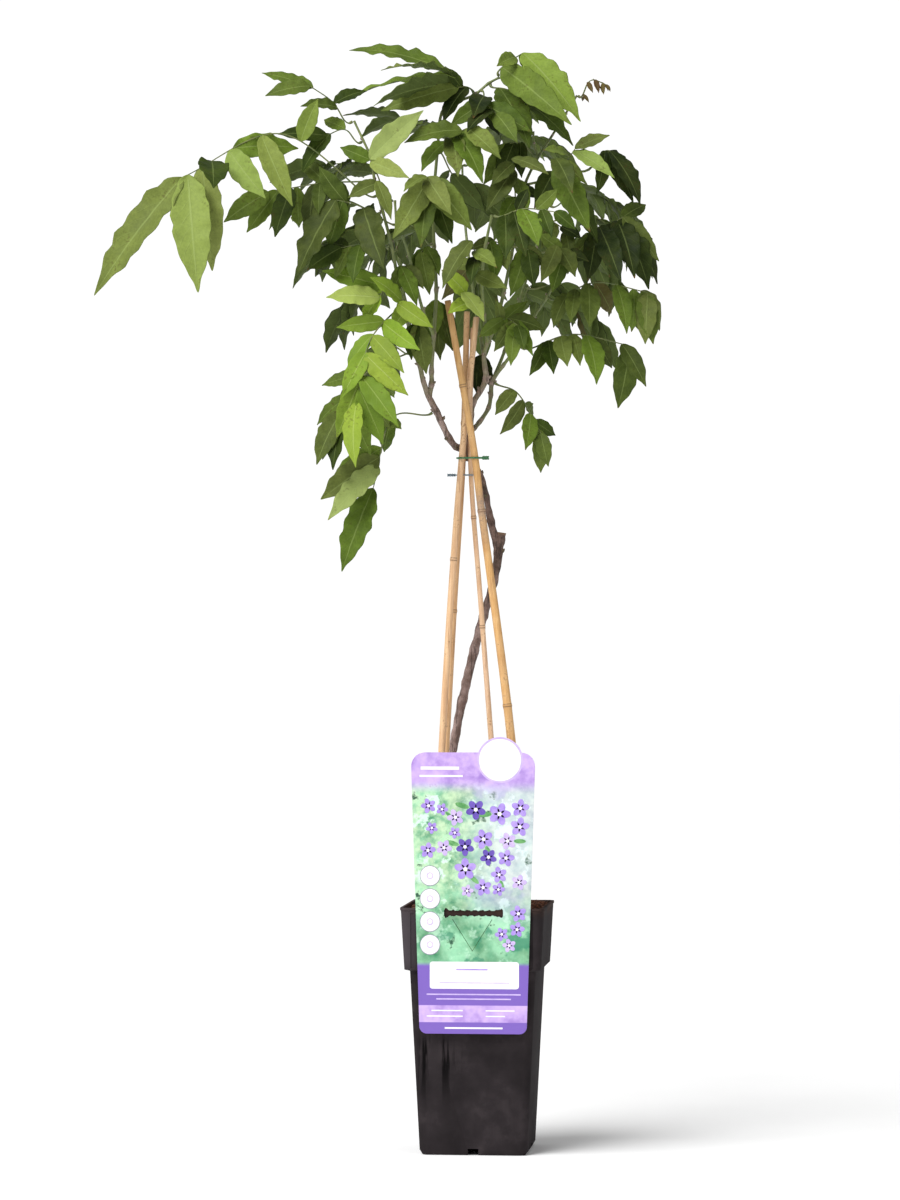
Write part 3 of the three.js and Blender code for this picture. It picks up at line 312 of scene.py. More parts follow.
def round_corners(bm, corners, offset, steps):
    return bmesh.ops.bevel(
        bm, geom=corners, offset=offset, affect="VERTICES", segments=steps, profile=0.5, material=-1
    )["verts"]


def square_ring(bm, half, height):
    corners = bmesh.ops.create_grid(bm, x_segments=1, y_segments=1, size=half)["verts"]
    round_corners(bm, corners, CORNER, 5)
    bmesh.ops.translate(bm, vec=(0, 0, height), verts=bm.verts)
    return list(bm.edges)


def walk_out(bm, edges, wider, higher):
    ring, edges = extrude(bm, edges)
    for vertex in ring:
        across, deep = (math.copysign(1, side) * wider for side in vertex.co.xy)
        bmesh.ops.translate(bm, vec=(across, deep, higher), verts=[vertex])
    return edges


pot_bm = bmesh.new()
rim_edges = square_ring(pot_bm, *POT_PROFILE[0])
for (half, height), (next_half, next_height) in zip(POT_PROFILE, POT_PROFILE[1:]):
    rim_edges = walk_out(pot_bm, rim_edges, next_half - half, next_height - height)
bmesh.ops.edgeloop_fill(pot_bm, edges=rim_edges)
print("The walls have", len(pot_bm.faces), "faces")

# %% [markdown]
# ## Notches, drain holes and grooves
# Holes are easier to cut than to model. All the shapes to take away are collected in one mesh: four
# holes through the floor, a notch in the middle of each bottom edge, and the two shallow grooves at
# each end of the band below the rim. A Boolean modifier takes them out in one go. Its result is baked
# into the mesh, so that a small Bevel modifier can round what is left.

# %% Cut the pot
NOTCH = (-4.5, 40, -1), (4.5, 46.8, 5.5)
DRAIN_RADIUS, DRAIN_DEPTH, DRAIN_AT = 4, 6, (27, 27, 6)
GROOVE = (-1.25, -0.7, -23), (1.25, 0.7, 23)
GROOVE_ASIDE, BAND_FRONT, BAND_MIDDLE, BAND_TILT = 49.5, -58.1, 179, 0.053
CUT_ANGLE = 35


def cube(bm, low, high):
    made = bmesh.ops.create_cube(bm, size=1.0)["verts"]
    bmesh.ops.scale(bm, vec=Vector(high) - Vector(low), verts=made)
    bmesh.ops.translate(bm, vec=(Vector(low) + Vector(high)) / 2, verts=made)
    return made


def cut(target, bm):
    bmesh.ops.transform(bm, matrix=TO_POT, verts=bm.verts)
    mesh = as_mesh("cutter", bm)
    modifier = target.modifiers.new("cut", "BOOLEAN")
    modifier.operation = "DIFFERENCE"
    modifier.solver = "EXACT"
    modifier.object = cutter = as_object("cutter", mesh)
    shaped = target.evaluated_get(bpy.context.evaluated_depsgraph_get())
    target.data = bpy.data.meshes.new_from_object(shaped)
    target.modifiers.clear()
    bpy.data.objects.remove(cutter)
    bpy.data.meshes.remove(mesh)
    shade(target.data, CUT_ANGLE)


def round_edges(piece, width, segments):
    modifier = piece.modifiers.new("small round", "BEVEL")
    modifier.width = width * MM
    modifier.segments = segments
    modifier.limit_method = "ANGLE"
    modifier.angle_limit = math.radians(CUT_ANGLE)


pot = make_piece("square_pot", pot_bm, [pot_plastic], ["pot"])
cutter_bm = bmesh.new()
for side in range(4):
    turned = Matrix.Rotation(side * math.pi / 2, 4, "Z")
    bmesh.ops.transform(cutter_bm, matrix=turned, verts=cube(cutter_bm, *NOTCH))
    bmesh.ops.create_cone(
        cutter_bm, cap_ends=True, segments=16, radius1=DRAIN_RADIUS, radius2=DRAIN_RADIUS, depth=DRAIN_DEPTH,
        matrix=turned @ Matrix.Translation(DRAIN_AT),
    )
    for end in (-GROOVE_ASIDE, GROOVE_ASIDE):
        tipped = Matrix.Translation((end, BAND_FRONT, BAND_MIDDLE)) @ Matrix.Rotation(BAND_TILT, 4, "X")
        bmesh.ops.transform(cutter_bm, matrix=turned @ tipped, verts=cube(cutter_bm, *GROOVE))
cut(pot, cutter_bm)
round_edges(pot, 0.35, 2)
print("The cut pot has", len(pot.data.polygons), "faces")

# %% [markdown]
# ## Potting soil
# Peat and coir compost is a heap of reddish brown crumbs. The heap is a fine grid whose points are
# lifted by two sizes of noise, pulled in to the round corners of the pot and closed below by walls that
# follow the pot. Loose crumbs are small icospheres, each squashed and dented at random and set half
# into the heap, most of them along the rim where the soil was heaped.

# %% The finish of the soil
potting_soil, tree = new_finish("potting soil")
soft, _ = pattern(tree, BLOTCHES, 260.0)
_, specks = pattern(tree, BLOTCHES, 900.0)
colour = mix(tree, soft, (0.034, 0.011, 0.006), (0.150, 0.050, 0.020))
colour = mix(tree, specks, colour, (0.26, 0.105, 0.044))
lay(tree, colour, 0.92, clouds(tree, 900.0, 6.0), strength=0.9, distance=0.002)
print("Made", potting_soil.name)

# %% The heap and its loose crumbs
SOIL_HALF, SOIL_LEVEL, SOIL_SQUARES, CRUMBS = 56.8, 202.2, 44, 620
SOIL_WALLS = ((54.4, 155.4), (50.4, 153.0), (43.1, 7.9))  # half of the width, height
FULL_TURN = 6.28


def soil_height(x, y):
    edge = max(abs(x), abs(y)) / SOIL_HALF
    lift = 1.8 * noise.noise(Vector((x, y, 3)) * 0.045) + 1.1 * noise.noise(Vector((x, y, 9)) * 0.16)
    piled = clamp((edge - 0.45) / 0.4) * clamp((y + 40) / 30)  # towards the rim, but not in front
    return SOIL_LEVEL + lift + 2.4 * piled - 1.6 * edge ** 8


soil_bm = bmesh.new()
bmesh.ops.create_grid(soil_bm, x_segments=SOIL_SQUARES, y_segments=SOIL_SQUARES, size=SOIL_HALF)
straight = Vector((1, 1)) * (SOIL_HALF - CORNER)
for vertex in soil_bm.verts:
    corner = Vector((abs(vertex.co.x), abs(vertex.co.y))) - straight
    if min(corner) > 0 and corner.length > CORNER:
        pulled = corner.normalized() * CORNER + straight
        vertex.co.x = math.copysign(pulled.x, vertex.co.x)
        vertex.co.y = math.copysign(pulled.y, vertex.co.y)
    vertex.co.z = soil_height(vertex.co.x, vertex.co.y)
bmesh.ops.remove_doubles(soil_bm, verts=soil_bm.verts, dist=0.05)
wall_edges = [edge for edge in soil_bm.edges if edge.is_boundary]
for half, height in SOIL_WALLS:
    ring, wall_edges = extrude(soil_bm, wall_edges)
    reach = max(abs(vertex.co.x) for vertex in ring)
    bmesh.ops.scale(soil_bm, vec=(half / reach, half / reach, 1), verts=ring)
    for vertex in ring:
        vertex.co.z = height
bmesh.ops.edgeloop_fill(soil_bm, edges=wall_edges)
for number in range(CRUMBS):
    x, y = (random.uniform(-54, 54) for axis in range(2))
    if number % 5 < 3:
        y = random.choice((-1, 1, 1)) * random.uniform(46, 54.5)
        x, y = (x, y) if number % 4 else (y, x)
    crumb = bmesh.ops.create_icosphere(soil_bm, subdivisions=1, radius=1.0)["verts"]
    size = random.uniform(0.7, 1.7) * (1.5 if random.random() < 0.15 else 1)
    shape = Matrix.Diagonal((size * random.uniform(0.8, 1.5), size, size * random.uniform(0.6, 0.9), 1))
    turn = Matrix.Rotation(random.uniform(0, FULL_TURN), 4, "Z")
    top = soil_height(x, y) + size * random.uniform(0.2, 0.7)
    bmesh.ops.transform(soil_bm, matrix=Matrix.Translation((x, y, top)) @ turn @ shape, verts=crumb)
    for vertex in crumb:
        vertex.co += Vector((random.uniform(-1, 1) for axis in range(3))) * size * 0.16
make_piece("soil_heap", soil_bm, [potting_soil], ["soil"], sharp=0)

# %% [markdown]
# ## The card that hooks over the rim
# Plant nurseries hang a printed plastic card on the pot. It is one sheet, 0.8 mm thick, wider at the
# top, with round corners, a round badge that stands over its top edge, and a tongue punched out of a
# slot, which is bent back over the rim. The card is a plane with tapered sides and bevelled corners,
# extruded to its thickness. The slot is cut, and the tongue is a strip that is extruded round the rim
# and made solid.

# %% The finish of the card
CARD_FRONT, CARD_THICK = -61.4, 0.8
card_print, tree = new_finish("printed card")
across, deep, up = axes(tree)
soft, crisp = pattern(tree, BLOTCHES, 34.0)
fine, specks = pattern(tree, BLOTCHES, 120.0)
(_, gloom), (_, dapples), (_, shadows) = (pattern(tree, BLOTCHES, scale) for scale in (16.0, 72.0, 54.0))
high, far = between(tree, up, 0.185, 0.235), between(tree, across, -0.020, 0.030)
field = coat(
    tree, mix(tree, soft, (0.020, 0.190, 0.080), (0.300, 0.640, 0.400)),
    (both(tree, fine, ramp(tree, high, 0.55, 0.12)), (0.700, 0.860, 0.560)),
    (both(tree, shadows, ramp(tree, high, -0.5, 0.75)), (0.020, 0.200, 0.110)),
    (both(tree, dapples, ramp(tree, high, 0.5, 0.35)), (0.640, 0.900, 0.720)),
    (both(tree, high, far, 0.5), (0.680, 0.620, 0.820)),  # lilac haze at the upper right
    (both(tree, gloom, high, 0.4), (0.360, 0.270, 0.640)),  # violet shade above
    (both(tree, specks, crisp), (0.015, 0.080, 0.040)),
)
band = mix(tree, soft, (0.270, 0.150, 0.500), (0.500, 0.350, 0.700))
band = mix(tree, both(tree, fine, 0.7), band, (0.620, 0.450, 0.780))
colour = coat(
    tree, field,
    (between(tree, up, 0.300, 0.312), band),  # the top of the card
    (between(tree, up, 0.162, 0.158), (0.172, 0.096, 0.430)),  # the plain foot
    (both(tree, between(tree, up, 0.1116, 0.1122), between(tree, up, 0.1262, 0.1256)), band),  # a strip
    (between(tree, deep, (CARD_FRONT + 0.5) * MM, (CARD_FRONT + 0.6) * MM), (0.78, 0.76, 0.80)),  # the back
)
lay(tree, colour, 0.34)
print("Made", card_print.name)

# %% The card, its slot and its tongue
CARD_MIDDLE, CARD_FOOT, CARD_TOP = 1.5, 102.4, 335.0
FOOT_HALF, TOP_HALF = 44.4, 51.8
FOOT_CORNER, TOP_CORNER = 6.0, 12.0
SLOT_MIDDLE, SLOT_HALF, SLOT_TOP, SLOT_HEIGHT, SLOT_CUTS = 1.9, 24.5, 206.35, 8.4, 47


def thicken(bm, faces, by):
    grown = bmesh.ops.extrude_face_region(bm, geom=faces)["geom"]
    lifted = [item for item in grown if isinstance(item, bmesh.types.BMVert)]
    bmesh.ops.translate(bm, vec=by, verts=lifted)
    return lifted


card_bm = bmesh.new()
for vertex in bmesh.ops.create_grid(card_bm, x_segments=1, y_segments=1, size=1.0)["verts"]:
    half, height = (TOP_HALF, CARD_TOP) if vertex.co.y > 0 else (FOOT_HALF, CARD_FOOT)
    vertex.co = (CARD_MIDDLE + math.copysign(half, vertex.co.x), CARD_FRONT, height)
for height, offset in ((CARD_TOP, TOP_CORNER), (CARD_FOOT, FOOT_CORNER)):
    corners = [vertex for vertex in card_bm.verts if abs(vertex.co.z - height) < 0.01]
    round_corners(card_bm, corners, offset, 7)
thicken(card_bm, card_bm.faces[:], (0, CARD_THICK, 0))
card = make_piece("printed_card", card_bm, [card_print], ["tag"])
slot_bm = bmesh.new()
cube(
    slot_bm, (SLOT_MIDDLE - SLOT_HALF, CARD_FRONT - 1, SLOT_TOP - SLOT_HEIGHT),
    (SLOT_MIDDLE + SLOT_HALF, CARD_FRONT + 2, SLOT_TOP),
)
lengthwise = [edge for edge in slot_bm.edges if abs(edge.verts[0].co.x - edge.verts[1].co.x) > 2]
bmesh.ops.subdivide_edges(slot_bm, edges=lengthwise, cuts=SLOT_CUTS, use_grid_fill=True)
for vertex in slot_bm.verts:
    aside = abs(vertex.co.x - SLOT_MIDDLE) / SLOT_HALF
    above = math.copysign(1, vertex.co.z - SLOT_TOP + SLOT_HEIGHT / 2)
    scallop = 0.45 * math.cos(vertex.co.x * 1.05) + 0.25 * math.sin(vertex.co.x * 2.3 + above)
    pinch = 1.9 - 2.2 * max(aside - 0.78, 0) / 0.22 + (2.6 if aside > 0.97 else 0)
    vertex.co.z -= above * max(pinch + scallop, 0.0)
cut(card, slot_bm)
round_edges(card, 0.12, 1)
print("The card has", len(card.data.polygons), "faces")

# %% The tongue
TONGUE_HALF, OVER_RIM = 20, SLOT_TOP + CARD_THICK / 2
TONGUE_STEPS = ((1.2, 0.0), (2.2, 0.0), (0.7, -0.3), (0.35, -0.75), (0.0, -3.5), (0.0, -5.2))  # back, up
tongue_bm = bmesh.new()
starts = [
    tongue_bm.verts.new((SLOT_MIDDLE + side, CARD_FRONT + CARD_THICK / 2, OVER_RIM))
    for side in (-TONGUE_HALF, TONGUE_HALF)
]
edge = [tongue_bm.edges.new(starts)]
for back_by, up_by in TONGUE_STEPS:
    ends, edge = extrude(tongue_bm, edge)
    bmesh.ops.translate(tongue_bm, vec=(0, back_by, up_by), verts=ends)
bmesh.ops.recalc_face_normals(tongue_bm, faces=tongue_bm.faces)
bmesh.ops.solidify(tongue_bm, geom=tongue_bm.faces[:], thickness=CARD_THICK)
make_piece("card_tongue", tongue_bm, [card_print], ["tag"], sharp=50)

# %% [markdown]
# ## What is printed on the card
# The print itself names nobody: a plain badge, a few bars and rings, and a scatter of small five-petalled
# flowers and leaves over the blurred field. Each is a plate a tenth of a millimetre thick, because a
# raised plate stays crisp from any distance, where a drawn texture would blur. A plate is a circle with
# a cap, squeezed to its shape and extruded.

# %% Flat inks
INKS = [
    plain_finish(f"{name} print", 150.0, colour, other, 0.3)
    for name, colour, other in (
        ("white", (0.82, 0.81, 0.84), (0.76, 0.75, 0.80)),
        ("pale lilac", (0.58, 0.46, 0.76), (0.46, 0.35, 0.68)),
        ("violet", (0.150, 0.090, 0.440), (0.090, 0.050, 0.330)),
        ("lilac", (0.300, 0.200, 0.600), (0.420, 0.300, 0.720)),
        ("green", (0.050, 0.220, 0.060), (0.180, 0.420, 0.150)),
        ("grey line", (0.200, 0.170, 0.260), (0.280, 0.250, 0.340)),
    )
]
WHITE, PALE, VIOLET, LILAC, GREEN, LINE = range(6)
PLATE, ROUNDED, LAYER = 0.1, 2.2, 0.06
UPRIGHT = Matrix.Rotation(math.pi / 2, 4, "X")


def dye(vertices, ink):
    for face in {face for vertex in vertices for face in vertex.link_faces}:
        face.material_index = ink


def plate(bm, across, up, wide, tall, ink, turn=0.0, corners=20, layer=0):
    shape = bmesh.ops.create_circle(bm, cap_ends=True, segments=corners, radius=1.0)["verts"]
    if corners == 4:
        bmesh.ops.rotate(bm, matrix=Matrix.Rotation(math.pi / 4, 3, "Z"), verts=shape)
        bmesh.ops.scale(bm, vec=(math.sqrt(2), math.sqrt(2), 1), verts=shape)
    bmesh.ops.scale(bm, vec=(wide / 2, tall / 2, 1), verts=shape)
    if corners == 4 and tall > 5 * ROUNDED:
        shape = round_corners(bm, shape, ROUNDED, 4)
    whole = shape + thicken(bm, [shape[0].link_faces[0]], (0, 0, PLATE))
    put = Matrix.Translation((across, CARD_FRONT - 0.02 - layer * LAYER, up))
    bmesh.ops.transform(bm, matrix=put @ UPRIGHT @ Matrix.Rotation(turn, 4, "Z"), verts=whole)
    dye(whole, ink)


print("Inks:", [made.name for made in INKS])

# %% The plates
BARS = [  # across, up, width, height, ink, layer
    (2.6, 150.8, 74, 22.4, WHITE, 0), (2.6, 144.6, 58, 0.7, PALE, 1), (0.6, 155.6, 26, 1.2, LILAC, 1),
    (2, 135, 78, 1.1, PALE, 0), (2, 131.2, 62, 1.1, PALE, 0), (-20, 121.6, 26, 1, WHITE, 0),
    (-22, 117, 30, 1, WHITE, 0), (24, 121.6, 24, 1, WHITE, 0), (20, 117, 16, 1, WHITE, 0),
    (2, 107.2, 48, 1.4, WHITE, 0), (-26, 322, 32, 2.6, WHITE, 0), (-25, 315.5, 36, 1.6, WHITE, 0),
]
RING_ACROSS, RING_HEIGHTS = -34.2, (233, 214, 195, 176)
DISCS = ((16.9, LINE, 28), (15.9, WHITE, 28), (5.6, PALE, 20), (4.0, WHITE, 16))
LINES_MIDDLE, LINES_ASIDE = 0.9, 8.2

print_bm = bmesh.new()
for *bar, layer in BARS:
    plate(print_bm, *bar, corners=4, layer=layer)
for up in RING_HEIGHTS:
    for layer, (width, ink, corners) in enumerate(DISCS, 1):
        plate(print_bm, RING_ACROSS, up, width, width, ink, corners=corners, layer=layer)
for lean in (-1, 1):
    plate(print_bm, LINES_MIDDLE + lean * LINES_ASIDE, 184, 0.35, 31, GREEN, turn=-lean * 0.56, corners=4)
make_piece("printed_bars", print_bm, INKS, sharp=30)

# %% Flowers and leaves strewn over the field
ATTEMPTS, FIELD_LEFT, FIELD_RIGHT, FIELD_FOOT, FIELD_TOP = 1500, -38, 46, 171, 294


def petal(across, up, angle, reach, wide, tall, ink, layer=0):
    aside, above = reach * math.sin(angle), reach * math.cos(angle)
    plate(strewn_bm, across + aside, up + above, wide, tall, ink, turn=-angle, corners=12, layer=layer)


strewn_bm = bmesh.new()
placed = []
for attempt in range(ATTEMPTS):
    across, up = random.uniform(FIELD_LEFT, FIELD_RIGHT), random.uniform(FIELD_FOOT, FIELD_TOP)
    beside_rings = across < -14 and up < 252
    in_slot = abs(across - SLOT_MIDDLE) < SLOT_HALF + 10 and abs(up - 202) < 15
    edge = CARD_MIDDLE + FOOT_HALF + (up - CARD_FOOT) * 0.032 - 9.5
    on_lines = abs(across - LINES_MIDDLE) < 24 and up < 205
    size, turn = random.uniform(4.6, 6.8), random.uniform(0, FULL_TURN)
    size *= 1.0 + 0.3 * (up > 225 and across > -12)
    crowded = any(Vector((across - a, up - b)).length < 1.04 * (size + other) for a, b, other in placed)
    if beside_rings or in_slot or on_lines or across > edge or crowded:
        continue
    placed.append((across, up, size))
    ink = random.choice((VIOLET, LILAC, LILAC, PALE))
    for leaf in range(random.choice((0, 0, 1))):
        angle, reach = turn + 0.6 + 2.4 * leaf, size * 1.5
        if FIELD_LEFT < across + reach * math.sin(angle) < edge + 3:
            petal(across, up, angle, reach, size * 0.55, size * 1.5, GREEN)
    for number in range(5):
        petal(across, up, turn + number * math.tau / 5, size * 0.55, size * 0.72, size * 1.05, ink, 1)
    plate(strewn_bm, across, up, size * 0.42, size * 0.42, WHITE, corners=10, layer=2)
make_piece("printed_flowers", strewn_bm, INKS, sharp=30)

# %% The round badge
BADGE_ACROSS, BADGE_UP = 23.9, 328.8
BADGE_DISCS = ((19.0, 0.7, PALE), (17.4, PLATE, WHITE))  # radius, thickness, ink
badge_bm = bmesh.new()
for layer, (radius, thick, ink) in enumerate(BADGE_DISCS):
    disc = bmesh.ops.create_cone(
        badge_bm, cap_ends=True, segments=48, radius1=radius, radius2=radius, depth=thick
    )["verts"]
    front_face = CARD_FRONT - 0.05 - LAYER * layer
    put = Matrix.Translation((BADGE_ACROSS, front_face + thick / 2, BADGE_UP))
    bmesh.ops.transform(badge_bm, matrix=put @ UPRIGHT, verts=disc)
    dye(disc, ink)
make_piece("card_badge", badge_bm, INKS, ["tag"])

# %% [markdown]
# ## Smooth paths and round limbs
# Canes, wire, bark and leaf stalks are all a round section drawn along a bent line. The line is a
# Catmull-Rom curve: it passes through every listed point, and its centripetal form doesn't overshoot at
# sharp bends. A sweep starts from a circle, extrudes its edge ring by ring, and moves each new ring to
# its place, its heading and its radius. The frame of each ring is carried over from the one before, so
# the limb doesn't twist.

# %% A path that knows its length
class Path:
    STEPS = 200

    def __init__(self, points):
        points = [Vector(point) for point in points]
        before, after = points[0] * 2 - points[1], points[-1] * 2 - points[-2]
        self.points = [before, *points, after]
        fine = [self.place(step / self.STEPS) for step in range(self.STEPS + 1)]
        self.marks = [0.0]
        for one, other in zip(fine, fine[1:]):
            self.marks.append(self.marks[-1] + (other - one).length)
        self.length = self.marks[-1]

    def place(self, share):
        spans = len(self.points) - 3
        span = min(int(share * spans), spans - 1)
        t = share * spans - span
        p0, p1, p2, p3 = self.points[span:span + 4]
        d0, d1, d2 = ((b - a).length ** 0.5 for a, b in ((p0, p1), (p1, p2), (p2, p3)))
        leave = ((p1 - p0) / d0 - (p2 - p0) / (d0 + d1) + (p2 - p1) / d1) * d1
        arrive = ((p2 - p1) / d1 - (p3 - p1) / (d1 + d2) + (p3 - p2) / d2) * d1
        cubic, square = 2 * (p1 - p2) + leave + arrive, 3 * (p2 - p1) - 2 * leave - arrive
        return ((cubic * t + square) * t + leave) * t + p1

    def share(self, distance):
        low = clamp(bisect.bisect_right(self.marks, distance) - 1, 0, self.STEPS - 1)
        step = self.marks[low + 1] - self.marks[low]
        return clamp((low + (distance - self.marks[low]) / step) / self.STEPS)

    def at(self, distance):
        return self.place(self.share(distance))

    def heading_at(self, share):
        return (self.place(min(share + 1e-4, 1.0)) - self.place(max(share - 1e-4, 0.0))).normalized()

    def heading(self, distance):
        return self.heading_at(self.share(distance))


def sweep(bm, path, rings, sides):
    ring = bmesh.ops.create_circle(bm, cap_ends=False, segments=sides, radius=1.0)["verts"]
    edges = list({edge for vertex in ring for edge in vertex.link_edges})
    first, rows, was = edges, [], Matrix()
    across = path.heading(rings[0][0]).orthogonal()
    for number, (distance, radius) in enumerate(rings):
        ahead = path.heading(distance)
        across = (across - ahead * across.dot(ahead)).normalized()
        turn = Matrix((across, ahead.cross(across), ahead)).transposed().to_4x4()
        now = Matrix.Translation(path.at(distance)) @ turn @ Matrix.Diagonal((radius, radius, 1, 1))
        if number:
            ring, edges = extrude(bm, edges)
        bmesh.ops.transform(bm, matrix=now @ was.inverted(), verts=ring)
        rows.append(ring)
        was = now
    ends = [bmesh.ops.edgeloop_fill(bm, edges=loop)["faces"] for loop in (first, edges)]
    return rows, ends


def radii_between(marks, distance):
    low = clamp(bisect.bisect_right([mark[0] for mark in marks], distance) - 1, 0, len(marks) - 2)
    (start, thin), (end, thick) = marks[low], marks[low + 1]
    return thin + (thick - thin) * clamp((distance - start) / max(end - start, 1e-6))


print("A straight path of 3 cm measures", round(Path([(0, 0, 0), (0, 0, 10), (0, 0, 30)]).length, 2))

# %% [markdown]
# ## Bamboo
# The canes are thin bamboo, honey coloured, with brown streaks along the grain, grey bloom in patches
# and, every ten to twenty centimetres, a node: a low ring with a dark line on each side where the sheath
# was. The rings of the sweep stand close together at a node, so attributes can be painted on them: the
# dark lines, a stained stretch of the front cane, and how faded each cane is. The top is sawn off, with
# the hollow showing.

# %% The finish of the canes
bamboo, tree = new_finish("bamboo")
soft, crisp = pattern(tree, STREAKS, 240.0)
patch, spots = pattern(tree, BLOTCHES, 60.0)
_, freckles = pattern(tree, BLOTCHES, 520.0)
stain = attribute(tree, "stain")
faded = mix(tree, soft, (0.540, 0.320, 0.175), (0.820, 0.580, 0.390))
colour = coat(
    tree, mix(tree, soft, (0.400, 0.190, 0.050), (0.680, 0.390, 0.120)),
    (attribute(tree, "faded"), faded),
    (both(tree, patch, 0.3), (0.800, 0.560, 0.300)),  # bloom
    (both(tree, crisp, 0.55), (0.270, 0.110, 0.035)),  # streaks along the grain
    (both(tree, freckles, spots, 0.6), (0.200, 0.090, 0.035)),
    (both(tree, freckles, stain), (0.17, 0.12, 0.085)),
    (both(tree, stain, 0.65), (0.30, 0.215, 0.165)),
    (attribute(tree, "line"), (0.17, 0.085, 0.035)),  # the dark lines of a node
)
lay(tree, colour, between(tree, soft, 0.0, 1.0, 0.38, 0.52), soft, strength=0.25, distance=0.0004)
print("Made", bamboo.name)

# %% The four canes
CANES = {
    "cane_front": (
        [(33, 18, 112), (36, 20, 160), (38.5, 21.5, 203), (27.8, 16.8, 343), (1.7, 9.7, 545), (-3, 8.5, 583),
         (-25.5, 5, 712)],
        (4.3, 2.7), (232, 372, 535, 640),
    ),
    "cane_left_back": (
        [(-39.5, -6, 100), (-20.6, -6, 450), (-12.6, -6, 583), (-9.2, -8, 703.5)],
        (3.2, 2.5), (210, 318, 452, 610),
    ),
    "cane_left": (
        [(-43, 18, 100), (-23.6, 6.4, 450), (-13.4, 2, 583), (-1.3, -1.5, 698.5)],
        (3.2, 2.5), (180, 330, 495, 625),
    ),
    "cane_thin": (
        [(30.5, -24, 100), (3, -10.6, 450), (-6.5, -5.5, 583), (-4.5, -11, 690)],
        (2.6, 1.9), (262, 439, 531, 660),
    ),
}
NODE_RINGS = (  # from the node, share of the swelling, darkness of the line
    (-7, 0, 0), (-3.2, 0.1, 0), (-1.9, 0.5, 0.1), (-1.2, 0.6, 1), (-0.6, 1, 0.15), (0.2, 1, 0.1),
    (0.8, 0.5, 0.9), (1.5, 0.25, 0), (3.2, 0, 0), (7, 0, 0),
)
FADED = {"cane_front": 0.1, "cane_left_back": 0.45, "cane_left": 0.75, "cane_thin": 1.0}
RING_GAP, NODE_ROOM, SWELLING, CANE_SIDES, PIT_DEPTH = 14, 9, 0.45, 20, 5
STAIN_FOOT, STAIN_DARKER, STAIN_TOP = 505, 530, 552
cane_paths = {name: Path([plant(place) for place in cane[0]]) for name, cane in CANES.items()}


def make_cane(name):
    route, (thick, thin), heights = CANES[name]
    path, bottom, top = cane_paths[name], route[0][2], route[-1][2]
    nodes = [path.length * (height - bottom) / (top - bottom) for height in heights]
    marks = [(distance, 0.0, 0.0) for distance in range(0, int(path.length) - 1, RING_GAP)]
    marks = [mark for mark in marks if all(abs(mark[0] - node) > NODE_ROOM for node in nodes)]
    for node in nodes:
        marks += [(node + shift, swell, dark) for shift, swell, dark in NODE_RINGS]
    marks = sorted(marks) + [(path.length - 0.3, 0.0, 0.3), (path.length, -0.4, 0.3)]
    rings = [
        (at, thick + (thin - thick) * at / path.length + SWELLING * swell) for at, swell, dark in marks
    ]
    bm = bmesh.new()
    line, stain, faded = (bm.verts.layers.float.new(title) for title in ("line", "stain", "faded"))
    rows, ends = sweep(bm, path, rings, CANE_SIDES)
    for row, (distance, swell, dark) in zip(rows, marks):
        for vertex in row:
            vertex[line], vertex[faded] = dark, FADED[name]
            stained = name == "cane_front" and STAIN_FOOT < vertex.co.z < STAIN_TOP
            vertex[stain] = 0.5 + 0.5 * (STAIN_DARKER < vertex.co.z) if stained else 0.0
            wobble = 0.05 * noise.noise(vertex.co * 0.25)
            vertex.co += (vertex.co - path.at(distance)).normalized() * wobble
    bmesh.ops.inset_region(bm, faces=ends[1], thickness=thin * 0.42)
    pit = bmesh.ops.extrude_discrete_faces(bm, faces=ends[1])["faces"][0].verts
    bmesh.ops.translate(bm, vec=path.heading(path.length) * -PIT_DEPTH, verts=pit)
    for vertex in pit:
        vertex[line] = 1.0
    make_piece(f"bamboo_{name}", bm, [bamboo], [name], TO_PLANT)


for name in CANES:
    make_cane(name)

# %% [markdown]
# ## The bark
# A wisteria standard is grafted: the lower stem is an older rootstock with mauve grey-brown bark, and
# the wood darkens and cracks towards the graft. Young shoots are smooth and green. One finish covers
# the whole stem, because an attribute says how old the wood is at each ring, taken from its radius,
# and the finish fades from bark to green skin along it.

# %% The finish of the bark
bark, tree = new_finish("wisteria bark")
age, up = attribute(tree, "age"), axes(tree)["Z"]
soft, crisp = pattern(tree, STREAKS, 420.0)
patch, _ = pattern(tree, BLOTCHES, 130.0)
dark = mix(tree, patch, (0.060, 0.034, 0.024), (0.210, 0.135, 0.108))
branch = mix(tree, patch, (0.200, 0.135, 0.105), (0.420, 0.310, 0.275))
old = coat(
    tree, mix(tree, patch, (0.165, 0.105, 0.085), (0.350, 0.250, 0.225)),
    (between(tree, up, 0.43, 0.50), dark),  # towards the graft
    (between(tree, up, 0.583, 0.60), branch),  # above the fork
    (both(tree, crisp, 0.7), (0.030, 0.018, 0.013)),  # cracks
)
young = mix(tree, soft, (0.085, 0.120, 0.030), (0.180, 0.210, 0.060))
colour = coat(tree, young, (age, old), (attribute(tree, "cut"), (0.230, 0.140, 0.080)))
rough, ridges = between(tree, age, 0.0, 1.0, 0.5, 0.85), both(tree, age, soft)
lay(tree, colour, rough, ridges, strength=0.8, distance=0.0012)
print("Made", bark.name)

# %% [markdown]
# ## The woody stem
# The trunk leans against the canes, forks above the tie and ends in thin leading shoots. Each shoot is
# listed as the places its middle passes, with its radius there. Every listed place is a joint of the
# wood, where a leaf once stood, so the sweep swells there and a small bud sits on it. Noise roughens
# the rings more where the wood is older.

